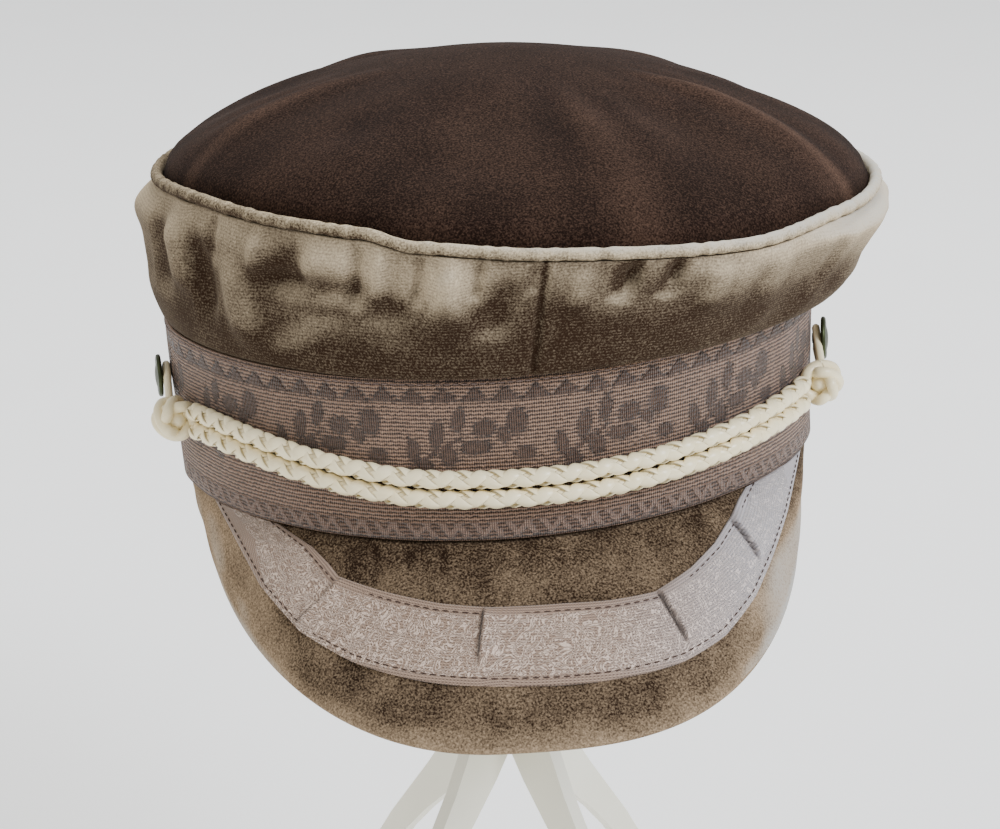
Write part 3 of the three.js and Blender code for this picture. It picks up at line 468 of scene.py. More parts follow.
def band_jacquard():
    material, tree, shader, place = start_material("jacquard_ribbon_taupe")
    along, up, _ = ribbon_space(tree)
    wobble = add(tree, "ShaderNodeTexNoise", {"Vector": place, "Scale": 900.0, "Detail": 2.0})
    unrest = add(tree, "ShaderNodeMath SUBTRACT", wobble, 0.5)
    # The motifs step from thread to thread
    nearest = sprig(tree, add(tree, "ShaderNodeMath SNAP", along, WARP_MM),
                    add(tree, "ShaderNodeMath SNAP", up, WEFT_MM))
    # Triangles along the top
    saw = centred(tree, add(tree, "ShaderNodeMath FLOORED_MODULO", along, TRIANGLE_PERIOD),
                  TRIANGLE_PERIOD / 2)
    low_edge = add(tree, "ShaderNodeMath SUBTRACT", up, BAND_HEIGHT - TRIANGLE_HEIGHT)
    triangle = add(tree, "ShaderNodeMath MULTIPLY_ADD", low_edge, 0.24,
                   add(tree, "ShaderNodeMath DIVIDE", saw, 4.0))
    triangle = add(tree, "ShaderNodeMath MAXIMUM", triangle,
                   add(tree, "ShaderNodeMath MULTIPLY_ADD", low_edge, -1.5, 0.9))
    nearest = add(tree, "ShaderNodeMath MINIMUM", nearest,
                  add(tree, "ShaderNodeMath ADD", triangle, 0.05))
    nearest = add(tree, "ShaderNodeMath MULTIPLY_ADD", unrest, 0.75, nearest)
    # The meander: two slanting rows of strokes, kept between two lines
    strokes = []
    for lean, period in ((0.7, 4.6), (-0.9, 9.2)):
        slanted = add(tree, "ShaderNodeMath MULTIPLY_ADD", up, lean, along)
        in_period = add(tree, "ShaderNodeMath FLOORED_MODULO", slanted, period)
        strokes.append(centred(tree, in_period, period / 2))
    key = add(tree, "ShaderNodeMath MULTIPLY_ADD", wobble, 2.6,
              add(tree, "ShaderNodeMath MINIMUM", *strokes))
    hem_strip = add(tree, "ShaderNodeMapRange", centred(tree, up, BORDER_MIDDLE), BORDER_HALF + 0.3,
                    BORDER_HALF,
                    **EASED)
    key_mask = add(tree, "ShaderNodeMath MULTIPLY", hem_strip,
                   add(tree, "ShaderNodeMapRange", key, 2.5, 2.0, **EASED))
    float_mask = add(tree, "ShaderNodeMapRange", nearest, 1.02, 0.9, **EASED)
    # Painted shadow in a ring round each float
    painted_float_shadow = add(tree, "ShaderNodeMath MULTIPLY",
                    add(tree, "ShaderNodeMapRange", nearest, 1.35, 1.05, **EASED),
                    add(tree, "ShaderNodeMapRange", nearest, 0.85, 1.0, **EASED))
    # Ribs run along the ribbon, a little loose, and warp threads cross them
    loose = add(tree, "ShaderNodeMath MULTIPLY_ADD", wobble, 0.9, up)
    rib, warp = [add(tree, "ShaderNodeMath SINE",
                     add(tree, "ShaderNodeMath MULTIPLY", way, 2 * math.pi / spacing))
                 for way, spacing in ((loose, RIB_MM), (along, WARP_MM))]
    ground = add(tree, "ShaderNodeMath MULTIPLY_ADD", warp, 0.24, 0.5)
    ground = add(tree, "ShaderNodeMath MULTIPLY_ADD", rib, 0.42, ground)
    ground = add(tree, "ShaderNodeMath MULTIPLY_ADD", unrest, 0.7, ground)
    satin = add(tree, "ShaderNodeMath MULTIPLY_ADD", warp, 0.36,
                add(tree, "ShaderNodeMath MULTIPLY", wobble, 0.8))
    # Shares of the painted shadow round the floats, the hem border and the meander
    shares = [add(tree, "ShaderNodeMath MULTIPLY", mask, share)
              for mask, share in ((painted_float_shadow, 0.5), (hem_strip, 0.45), (key_mask, 0.75))]
    height = add(tree, "ShaderNodeMath MULTIPLY", ground, 0.5)
    for mask, lift in ((float_mask, 0.7), (painted_float_shadow, -0.5), (key_mask, 1.2)):
        height = add(tree, "ShaderNodeMath MULTIPLY_ADD", mask, lift, height)
    fill(tree, shader, {
        "Base Color": layered(
            tree, colour("#22140c"), (ground, colour("#a88770")),
            (float_mask, layered(tree, colour("#1f130c"), (satin, colour("#7a5f4e")))),
            (shares[0], colour("#1d120c")), (shares[1], colour("#2a1b14")),
            (shares[2], layered(tree, colour("#765c4d"), (warp, colour("#ac9382"))))),
        "Roughness": add(tree, "ShaderNodeMath MULTIPLY_ADD", float_mask, -0.16, 0.62),
        "Specular IOR Level": 0.22, "Sheen Weight": 0.15,
        "Normal": add(tree, "ShaderNodeBump", {"Height": height, "Strength": 1.0, "Distance": 0.0011})})
    return material


BAND_JACQUARD = band_jacquard()
print("headband's jacquard made, with", len(LEAVES), "ellipses to a sprig")

# %% [markdown]
# The peak's ribbon is the same kind of weave in a paler, glossier thread: a fine ribbed ground under
# an all-over damask of wandering floats. No rule could follow such a design leaf by leaf, so the floats
# are drawn as contour lines of a noise on the flat ribbon, which wander in the same way.

# %% Jacquard ribbon of the peak
# Millimetres: the ribs' and dots' spacing, and where the damask begins and ends across the ribbon
PEAK_RIB_MM, DOT_MM, DAMASK_FROM, DAMASK_TO = 0.8, 0.9, 2.2, 21.0


def peak_jacquard():
    material, tree, shader, _ = start_material("jacquard_ribbon_silver_taupe")
    along, across, uv = ribbon_space(tree)
    damask = add(tree, "ShaderNodeTexNoise",
                 {"Vector": uv, "Scale": 24.0, "Detail": 3.0, "Roughness": 0.55,
                                             "Distortion": 1.1})
    lines = add(tree, "ShaderNodeMath FRACT", add(tree, "ShaderNodeMath MULTIPLY", damask, 9.0))
    floats = add(tree, "ShaderNodeMapRange", centred(tree, lines, 0.5), 0.24, 0.16, **EASED)
    # Plain borders along both edges
    for low, high in ((DAMASK_FROM, DAMASK_FROM + 1), (DAMASK_TO, DAMASK_TO - 1)):
        inside = add(tree, "ShaderNodeMapRange", across, low, high, **EASED)
        floats = add(tree, "ShaderNodeMath MULTIPLY", floats, inside)
    rib, dots = [add(tree, "ShaderNodeMath SINE",
                     add(tree, "ShaderNodeMath MULTIPLY", way, 2 * math.pi / spacing))
                 for way, spacing in ((across, PEAK_RIB_MM), (along, DOT_MM))]
    ground = add(tree, "ShaderNodeMath MULTIPLY_ADD", rib, 0.22, 0.5)
    ground = add(tree, "ShaderNodeMath MULTIPLY_ADD", add(tree, "ShaderNodeMath MULTIPLY", rib, dots),
                 0.2, ground)
    # Painted light: its right part lies across the light and is painted a cooler sheen, and each mitre's
    # crease is painted in shadow
    painted_cool_sheen = add(tree, "ShaderNodeMapRange", {0: along, 1: 120.0, 2: 200.0, 4: 0.5}, **EASED)
    painted_crease_shadow = add(tree, "ShaderNodeAttribute", attribute_name="tone_and_painted_light").outputs["Fac"]
    height = add(tree, "ShaderNodeMath MULTIPLY_ADD", floats, 0.8,
                 add(tree, "ShaderNodeMath MULTIPLY", ground, 0.5))
    fill(tree, shader, {
        "Base Color": layered(
            tree, colour("#453227"), (ground, colour("#b79a83")),
            (add(tree, "ShaderNodeMath MULTIPLY", floats, 0.9), colour("#dac1ad")),
            (painted_cool_sheen, colour("#c7cad2")), (painted_crease_shadow, colour("#2a1c16"))),
        "Roughness": add(tree, "ShaderNodeMath MULTIPLY_ADD", floats, -0.12, 0.5),
        "Specular IOR Level": 0.5, "Sheen Weight": 0.2,
        "Normal": add(tree, "ShaderNodeBump", {"Height": height, "Strength": 1.0, "Distance": 0.0005})})
    return material


PEAK_JACQUARD = peak_jacquard()
print("peak's jacquard made")

# %% [markdown]
# The braid is plaited from flat, coated strips with a soft gloss. The buttons are darkened brass. The
# stand is moulded polypropylene: white, satin, with the faint unevenness of a mould. All are one even
# surface with a grain, so one function makes them, and the braid's strips also get painted shade along
# their edges, in the gaps between them.

# %% Braid, thread, brass and plastic
def smooth_material(name, base, low, rough, metallic, grain_mm, level, seam=None):
    material, tree, shader, place = start_material(name)
    grain = add(tree, "ShaderNodeTexNoise", {"Vector": place, "Scale": 1000 / grain_mm, "Detail": 3.0})
    tone = layered(tree, colour(low), (grain, colour(base)))
    if seam:
        # Painted shade towards the edges of the braid's strips
        edge = add(tree, "ShaderNodeAttribute", attribute_name="tone_and_painted_light").outputs["Fac"]
        edge = add(tree, "ShaderNodeMapRange", {0: edge, 1: 0.86, 2: 0.99, 4: 0.8}, **EASED)
        tone = layered(tree, tone, (edge, colour(seam)))
    fill(tree, shader, {
        "Base Color": tone, "Metallic": metallic, "Specular IOR Level": level,
        "Roughness": add(tree, "ShaderNodeMath MULTIPLY_ADD", grain, 0.2, rough - 0.1),
        "Normal": add(tree, "ShaderNodeBump", {"Height": grain, "Strength": 0.25, "Distance": 0.0002})})
    return material


# The braid's strips get painted shade along their edges
BRAID = smooth_material("coated_ivory_strip_plaited", "#fff3cd", "#f0deae", 0.3, 0.0, 6.0, 0.5,
                        seam="#8a7c58")
THREAD = smooth_material("spun_polyester_thread", "#8a7870", "#5c4c47", 0.7, 0.0, 1.0, 0.3)
DARK_THREAD = smooth_material("spun_polyester_thread_dark", "#4a3a33", "#33261f", 0.8, 0.0, 1.0, 0.2)
BRASS = smooth_material("darkened_brass_struck", "#4c5236", "#272b1c", 0.42, 0.85, 3.0, 0.5)
PLASTIC = smooth_material("polypropylene_moulded_white", "#f1eedc", "#e2ddc6", 0.45, 0.0, 30.0, 0.5)
print("materials made")

# %% [markdown]
# ## Crown
# The top is one domed panel, eased into the ring, so it carries soft ridges that run from its middle to
# the piping. A dome could be sculpted by hand, but a rule and a table of ridges are quicker to match to
# the real cap. The wall is real: an outer and an inner skin joined at the rim.

# %% Crown top
TOP_ROWS = 240
azimuth = np.linspace(-180, 180, TOP_ROWS, endpoint=False)[:, None]
outer_shares = np.linspace(1, 0.004, 56)[None, :]
inner_shares = np.linspace(0.004, 1, 20)[None, :]
top_outer = top_point(outer_shares + 0 * azimuth, azimuth, 0)
ripple = waves(5, azimuth, outer_shares, 9, 7, 26) * 0.4 * smooth(outer_shares, 0.2, 0.8)
top_outer[..., 2] += ripple * (1 - smooth(outer_shares, 0.93, 1))
top_inner = top_point(inner_shares + 0 * azimuth, azimuth, VELVET_WALL)
top_grid = np.concatenate([top_outer, top_inner], axis=1)
# Painted light: the raised ripples are paler and the sunken ones darker
top_painted_light = 0.2 + 0.25 * np.clip(ripple, -0.4, 0.4)
# Painted highlights on the crests of the two sharp ridges, and a soft paler stroke right of the front
for centre, width, gain in ((-153, 4, 0.32), (-25, 3.5, 0.36), (-31, 9, 0.1), (-69, 9, 0.14)):
    top_painted_light = top_painted_light + gain * bump(azimuth, centre, width) * smooth(outer_shares, 0.3, 0.7)
# Painted light on one flank of each fold
for centre, width, rise, start, end in TOP_FOLDS:
    flank = bump(azimuth, centre - np.sign(rise) * width * 0.3, width * 0.6)
    top_painted_light = top_painted_light + 0.12 * abs(rise) * flank * window(outer_shares, start, end)
top_painted_light = np.concatenate([top_painted_light, np.full(top_inner.shape[:2], 0.2)], axis=1)
columns = top_grid.shape[1]
quads = ring_faces(TOP_ROWS, columns).reshape(TOP_ROWS, columns, 4)
# The grid closes round the middle with one face on each skin
middle = outer_shares.shape[1] - 1
keep = [j for j in range(columns) if j != middle]
top_faces = quads[:, keep].reshape(-1, 4).tolist()
top_faces += [[i * columns + ring for i in range(TOP_ROWS)] for ring in (middle, middle + 1)]
make_piece("crown_top_velvet", to_row(top_grid), top_faces, TOP_VELVET, "crown_top",
           tone_and_painted_light=top_painted_light)

# %% [markdown]
# The side is a tall strip gathered between the ring and the band, which sags over the band. A cloth
# simulation would gather it too, but its folds fall where they like. Here the big folds and the puckers
# under the piping come from two tables, and seeded ripples add the small unevenness between them.

# %% Crown side
SIDE_ROWS, SIDE_LINES, PUCKER_DEPTH, SEAM_DEPTH = 1080, 44, 2.0, 1.5
azimuth = np.linspace(-180, 180, SIDE_ROWS, endpoint=False)[:, None]
# azimuth, width, depth, low, high: short puckers under the piping, strongest left of the seam
PUCKERS = [(-141, 2.2, -0.9, 0.62, 1.02), (-131, 2.0, 0.7, 0.6, 1.0), (-121, 3.2, 1.0, 0.5, 0.98),
           (-113.5, 1.8, -1.0, 0.45, 1.0), (-110, 1.8, 0.9, 0.5, 1.0), (-104, 1.7, -0.9, 0.55, 1.0),
           (-99.5, 2.2, 0.8, 0.5, 1.0), (-95.5, 1.5, -0.8, 0.62, 1.0), (-87.5, 1.6, -0.5, 0.7, 1.0),
           (-80, 2.4, 0.5, 0.5, 1.0), (-72.5, 1.5, -1.0, 0.7, 1.0), (-66, 1.5, -0.8, 0.72, 1.0),
           (-59, 3.0, 0.7, 0.4, 0.98), (-47, 4.0, 0.6, 0.3, 0.95), (-33, 3.0, -0.6, 0.3, 0.9)]


def seam_at(up):
    """The centre-front seam's azimuth, which leans a little as it climbs."""
    return -84.5 - 1.7 * up


def side_point(azimuth, t, depth):
    out, up, bag = np.moveaxis(through(SECTION, t), -1, 0)
    up = np.clip(up, 0, 1)
    foot = band_point(azimuth, BAND_HEIGHT, RIBBON_WALL + CLEARANCE)
    foot[..., 2] += CLEARANCE
    head = ring_point(azimuth, -CLEARANCE, PIPING_RADIUS + CLEARANCE)
    point = foot + (head - foot) * out[..., None]
    point[..., 2] = foot[..., 2] + (head[..., 2] - foot[..., 2]) * up
    point[..., 2] -= CROWN_RISE * around(SAG, azimuth) * bag * (1 - up) ** 2
    reach = SIDE_BULGE * around(BULGE, azimuth) * bag
    folds = np.zeros(np.broadcast(azimuth, t).shape)
    for centre, width, fold, lean, low, high in FOLDS:
        ridge = bump(azimuth, centre + lean * (up - 0.5), width)
        folds += SIDE_FOLD_DEPTH * fold * ridge * window(up, low, high)
    for centre, width, fold, low, high in PUCKERS:
        folds += PUCKER_DEPTH * fold * bump(azimuth, centre, width) * window(up, low, high)
    # The roll and the sunken line under it, left of the front
    lie = bump(azimuth, -123, 16)
    folds += lie * (1.2 * bump(up * 100, 80, 16) - 1.9 * bump(up * 100, 62, 13))
    folds += waves(11, azimuth, up, 12, 9, 34) * 0.5 * smooth(up, 0.05, 0.3) * (1 - smooth(up, 0.92, 1.0))
    # The centre-front seam draws the cloth in
    folds -= SEAM_DEPTH * bump(azimuth, seam_at(up), 1.1) * (1 - smooth(up, 0.9, 1.0))
    return point + outward(azimuth) * (reach + folds - depth)[..., None], folds, up


t_outer = np.linspace(0, 6, SIDE_LINES)[None, :] + 0 * azimuth
side_outer, folds, ups = side_point(azimuth, t_outer, 0)
t_inner = np.array([6, 5, 4, 3, 2, 1, 0.0])[None, :] + 0 * azimuth
side_inner = side_point(azimuth, t_inner, VELVET_WALL)[0]
side_grid = np.concatenate([side_outer, side_inner], axis=1)
print("side folds from", round(float(folds.min()), 1), "to", round(float(folds.max()), 1), "mm")

# %% [markdown]
# On the real cap the side's pile leans every way, so it goes from nearly black to silver within a few
# millimetres. A light alone can't show that, so light and shade are painted. The value at each point
# starts from how far the cloth faces up and how far it stands out, and soft strokes then paint shade
# and highlights on places listed below.

# %% The side's painted light and shade
du = np.roll(side_outer, -1, 0) - np.roll(side_outer, 1, 0)
dv = np.gradient(side_outer, axis=1)
normal = np.cross(du, dv)
normal /= np.linalg.norm(normal, axis=-1, keepdims=True)
normal *= np.sign(np.sum(normal * outward(azimuth), axis=-1, keepdims=True))
# Painted light: paler where the cloth faces up and where a fold stands out, darker where it sinks
side_painted_light = 0.3 + 0.85 * normal[..., 2] + 0.14 * np.clip(folds, -2.5, 2)
# Painted light on the upper part, which bulges out, and painted shade at the foot, which turns under
side_painted_light += 0.3 * smooth(ups, 0.35, 0.85) - 0.08 * (1 - smooth(ups, 0.0, 0.4))
# Painted shade: the left end, seen along its pile, is darker than the roll beside it, and the right end
# paler
contrast = 0.85 - 0.4 * smooth(np.abs(azimuth + 85), 85, 120) * (azimuth < 150)
side_painted_light = 0.42 + contrast * (side_painted_light - 0.42)
left_end = bump(azimuth, -152, 38)
side_painted_light = side_painted_light + left_end * ((0.33 - side_painted_light) * 0.3 - 0.15)
# Painted shade high on the left, a painted highlight high up near the piping, painted shade low on the
# left, a pale painted streak that climbs to the right, and painted shadow in the sunken line under the
# roll
side_painted_light -= 0.16 * bump(azimuth, -127, 14) * smooth(ups, 0.55, 0.8)
side_painted_light += 0.5 * bump(azimuth, -103, 15) * bump(ups * 100, 80, 24)
side_painted_light -= 0.14 * bump(azimuth, -132, 30) * (1 - smooth(ups, 0.1, 0.5))
side_painted_light += 0.26 * bump(azimuth + 128 - 30 * (ups - 0.1), 0, 6) * window(ups, 0.0, 0.55)
side_painted_light -= 0.26 * bump(azimuth, -130, 13) * bump(ups * 100, 57, 15)
side_painted_light = 0.85 * np.tanh(np.maximum(side_painted_light, 0.04) / 0.85)
# Painted highlights right of the front, strongest high up under the piping
side_painted_light += 0.35 * bump(azimuth, -30, 35) * smooth(ups, 0.35, 0.75) + 0.25 * bump(azimuth, -5, 25)
# A dark line along the seam's groove
side_painted_light -= 0.9 * bump(azimuth, seam_at(ups), 0.42)
side_painted_light = np.concatenate([side_painted_light, np.full(side_inner.shape[:2], 0.3)], axis=1)
climb = np.cumsum(np.linalg.norm(np.diff(side_grid, axis=1, prepend=side_grid[:, :1]), axis=-1), axis=1)
side_uv = np.stack(np.broadcast_arrays(np.radians(azimuth + 180) * 1.04, climb / 100), -1)
make_piece("crown_side_velvet", to_row(side_grid), ring_faces(SIDE_ROWS, side_grid.shape[1]), SIDE_VELVET,
           "crown_side", uv=side_uv.reshape(-1, 2), tone_and_painted_light=np.clip(side_painted_light, 0, 1.2))
print("side nap from", round(float(side_painted_light.min()), 2), "to", round(float(side_painted_light.max()), 2))

# %% [markdown]
# Piping is a bias strip of velvet folded round a cord and caught in the seam. A curve with a bevel would
# give a smooth tube, but the bias puckers as it turns, so its radius ripples along the ring instead.

# %% Piping
PIPE_ROWS, PIPE_SIDES = 900, 12
azimuth = np.linspace(-180, 180, PIPE_ROWS, endpoint=False)[:, None]
turn = np.linspace(0, 360, PIPE_SIDES, endpoint=False)[None, :]
pucker = 1 + 0.09 * waves(3, azimuth, 0 * turn, 12, 60, 190)
core = ring_point(azimuth, 0, 0)
pipe = core + outward(azimuth) * (PIPING_RADIUS * pucker * np.cos(np.radians(turn)))[..., None]
pipe[..., 2] += PIPING_RADIUS * (pucker * np.sin(np.radians(turn)))
# Painted light: the piping's top and its puckered bulges are paler, its underside darker
pipe_painted_light = 0.55 + 0.35 * np.sin(np.radians(turn)) + 0.8 * (pucker - 1)
# Painted light on the right side, painted shade on the left
pipe_painted_light = pipe_painted_light + 0.42 * np.cos(np.radians(azimuth + 16)) - 0.07
make_piece("crown_piping_velvet", to_row(pipe), ring_faces(PIPE_ROWS, PIPE_SIDES), PIPING_VELVET,
           "crown_piping", tone_and_painted_light=pipe_painted_light)

# %% [markdown]
# ## Headband
# A velvet wall with the jacquard ribbon laid round it. Two cylinders would do for a straight band, but
# this one flares and its hem lifts at the sides, so both follow the band's rule. The ribbon's UV map
# counts its length and height, so the weave runs round without a stretch.

# %% Velvet wall and ribbon
def wall_ring(outer_inset, wall, rows, lines, swell):
    azimuth = np.linspace(-180, 180, rows, endpoint=False)[:, None]
    heights = np.linspace(0, BAND_HEIGHT, lines)[None, :]
    outer = band_point(azimuth, heights + 0 * azimuth, outer_inset)
    soft = waves(21, azimuth, heights / BAND_HEIGHT, 8, 9, 26) * swell
    outer += outward(azimuth) * soft[..., None]
    back = np.array([[BAND_HEIGHT, BAND_HEIGHT / 2, 0]])
    inner = band_point(azimuth, back + 0 * azimuth, outer_inset + wall)
    girth = np.radians(azimuth + 180) * (BAND_HALF_WIDTH + BAND_HALF_DEPTH) / 2
    uv = np.stack(np.broadcast_arrays(girth / 100, np.concatenate([heights, back], axis=1) / 100), -1)
    return np.concatenate([outer, inner], axis=1), uv.reshape(-1, 2)


WALL_ROWS, RIBBON_ROWS = 180, 540
wall, _ = wall_ring(RIBBON_WALL + CLEARANCE, VELVET_WALL, WALL_ROWS, 6, 0)
make_piece("band_velvet", to_row(wall), ring_faces(WALL_ROWS, wall.shape[1]), BAND_VELVET,
           "band", tone_and_painted_light=np.full(wall.shape[:2], 0.35))
wrap, wrap_uv = wall_ring(0, RIBBON_WALL, RIBBON_ROWS, 24, 0.22)
make_piece("band_ribbon_jacquard", to_row(wrap), ring_faces(RIBBON_ROWS, wrap.shape[1]), BAND_JACQUARD,
           "band_ribbon", uv=wrap_uv)

# %% [markdown]
# ## Peak
# The peak is a stiffener covered in velvet. Its rim is rounded and the cover is slightly padded, so the
# pile catches the light along its edge. A bent sheet with a Bevel modifier comes near, but lines ruled
# from the band's foot to the rim keep to the CAD shape, and the pleats can be pressed into them.

# %% Peak
PEAK_ROWS, PEAK_COLUMNS = 200, 40
angle = np.linspace(-PEAK_SPAN, PEAK_SPAN, PEAK_ROWS)[:, None]
share = np.linspace(0, 1, PEAK_COLUMNS)[None, :]
padding = smooth(share, 0.05, 0.4) * (1 - smooth(share, 0.9, 1))
soft = waves(31, angle * 2, share, 10, 3, 14) * 0.35 * padding
# Three small pleats where the cover is drawn under the band
pleat = (1 - smooth(share, 0.06, 0.22)) * smooth(share, 0.03, 0.06)
for centre in (-21, -15, -9):
    soft = soft - bump(angle, centre, 1.0) * pleat
top_face = peak_point(angle + 0 * share, share + 0 * angle, -soft)
rim_turn = np.radians(np.linspace(18, 162, 7))[None, :]
half_wall = PEAK_WALL / 2
rim_share = 1 + 0.018 * np.sin(rim_turn)
rim_depth = half_wall - half_wall * np.cos(rim_turn)
rim = peak_point(angle + 0 * rim_turn, rim_share + 0 * angle, rim_depth + 0 * angle)
back = share[:, ::-4] + 0 * angle
under = peak_point(angle + 0 * back, back, PEAK_WALL + 0 * back)
peak_grid = np.concatenate([top_face, rim, under], axis=1)
# Painted light: the padded bumps are paler and the hollows darker, with a painted highlight towards the
# rim
peak_painted_light_and_tone = 0.3 + 0.22 * np.clip(soft, -1.2, 1) + 0.3 * smooth(share, 0.88, 1.0)
# Darker on the cloth next to the band
peak_painted_light_and_tone -= 0.1 * (1 - smooth(share, 0.0, 0.3))
# Painted sheen: its two sides lean away from the eye, so their pile is painted paler
peak_painted_light_and_tone += 0.45 * smooth(-angle, 30, 60) + 0.75 * smooth(angle, 30, 62) * smooth(share, 0.3, 0.7)
# Tone that differs at random
peak_painted_light_and_tone += 0.06 * waves(41, angle * 2, share, 14, 4, 26)
# The rounded rim is painted a highlight; the underside is plain
rest = np.full((PEAK_ROWS, rim.shape[1] + under.shape[1]), 0.7)
rest[:, rim.shape[1]:] = 0.3
make_piece("peak_velvet", to_row(peak_grid), strip_faces(PEAK_ROWS, peak_grid.shape[1]), PEAK_VELVET,
           "peak", tone_and_painted_light=np.concatenate([peak_painted_light_and_tone, rest], axis=1))

# %% [markdown]
# The peak's ribbon is straight, so the maker folds a mitre wherever it turns. The folds could be laid as
# separate flaps, but as one cloth they can't come apart: at each mitre it stands up along a slanting
# line and eases down beyond it.

# %% Peak ribbon
RIBBON_STEPS, RIBBON_COLUMNS = 420, 26
row = np.linspace(0, len(PEAK_RIBBON) - 1, RIBBON_STEPS)
table = np.array(PEAK_RIBBON, float)
i = np.clip(np.floor(row).astype(int), 0, len(PEAK_RIBBON) - 2)
line = table[i] + (table[i + 1] - table[i]) * (row - i)[:, None]
s = np.linspace(0, 1, RIBBON_COLUMNS)[None, :]
angles = line[:, 0:1] + (line[:, 2:3] - line[:, 0:1]) * s
shares = line[:, 1:2] + (line[:, 3:4] - line[:, 1:2]) * s
# How far the ribbon's face lies over the peak's cloth
RIBBON_LIFT = CLEARANCE + RIBBON_WALL * 0.6
flat = peak_point(angles, shares, -RIBBON_LIFT + 0 * angles)
lengths = np.linalg.norm(np.diff(flat.mean(axis=1), axis=0), axis=1)
travel = np.concatenate([[0], np.cumsum(lengths)])[:, None]
widths = np.linalg.norm(flat[:, -1] - flat[:, 0], axis=1)[:, None]
# where along the table, how deep across, how much it slants
MITRES = [(3.0, 1.0, -4.0), (6.0, 0.8, 3.0), (9.15, 0.9, 2.0), (11.7, 0.85, -4.0)]
step, painted_crease_shadow = np.zeros(angles.shape), np.zeros(angles.shape)
for place, deep, slant in MITRES:
    where = np.interp(place, row, travel[:, 0])
    beyond = travel - where - slant * (s - 0.5)
    reach = (1 - smooth(s, deep - 0.25, deep)) * smooth(s, 0.0, 0.08)
    step += 1.9 * np.exp(-np.maximum(beyond, 0) / 5) * smooth(beyond, -0.4, 0.1) * reach
    # Painted shadow in the crease at each mitre's fold
    painted_crease_shadow += np.exp(-((beyond + 0.45) / 0.5) ** 2) * reach
RIBBON_BOW = 0.25
bow = RIBBON_BOW * np.sin(np.pi * s)
upper = peak_point(angles, shares, -RIBBON_LIFT - step - bow)
lower = peak_point(angles[:, ::-5], shares[:, ::-5], 0.1 + 0 * angles[:, ::-5])
ribbon_grid = np.concatenate([upper, lower], axis=1)
u = np.broadcast_to(travel / 100, (RIBBON_STEPS, ribbon_grid.shape[1]))
v = np.concatenate([widths * s, widths * s[:, ::-5]], axis=1) / 100
painted_crease_shadow = np.concatenate([painted_crease_shadow, 0 * lower[..., 0]], axis=1)
make_piece("peak_ribbon_jacquard", to_row(ribbon_grid), strip_faces(RIBBON_STEPS, ribbon_grid.shape[1]),
           PEAK_JACQUARD, "peak_ribbon", uv=np.stack([u, v], -1).reshape(-1, 2),
           tone_and_painted_light=painted_crease_shadow)
print("peak ribbon", round(float(travel[-1, 0])), "mm long,", round(float(widths.mean()), 1), "mm wide")

# %% [markdown]
# ## Braid
# Each cord is a round plait of four flat strips: two wind one way and two the other, and each passes
# over and under in turn. Geometry Nodes fit a strip to the cord's own route, so the plait follows any
# curve, and the pitch, the radius and the strip's width stay open to change.

# %% The plait as a node tree
# Metres and radians, as Geometry Nodes count them
PLAIT_SIZES = {"Pitch": 0.0169, "Radius": 0.00185, "Weave": 0.0004, "Strip Half Angle": 1.18,
               "Strip Thickness": 0.0004, "Core Radius": 0.0016}
# Points along and round a strip, how sharply its end closes, and how flat its faces are
PLAIT_STEPS, STRIP_POINTS, TAPER, EDGE_ROLL = 400, 17, 150.0, 1.9


def start_tree(name, sizes):
    """A node tree that takes a curve and named sizes, and gives a mesh."""
    tree = bpy.data.node_groups.new(name, "GeometryNodeTree")
    tree.interface.new_socket("Geometry", in_out="INPUT", socket_type="NodeSocketGeometry")
    for size, value in sizes.items():
        socket = tree.interface.new_socket(size, in_out="INPUT", socket_type="NodeSocketFloat")
        socket.default_value = value
    tree.interface.new_socket("Material", in_out="INPUT", socket_type="NodeSocketMaterial")
    tree.interface.new_socket("Geometry", in_out="OUTPUT", socket_type="NodeSocketGeometry")
    source = add(tree, "NodeGroupInput")
    return tree, {socket.name: socket for socket in source.outputs}


def end_tree(tree, shape, material):
    real = add(tree, "GeometryNodeRealizeInstances", shape)
    painted = add(tree, "GeometryNodeSetMaterial", {"Geometry": real, "Material": material})
    add(tree, "NodeGroupOutput", painted)


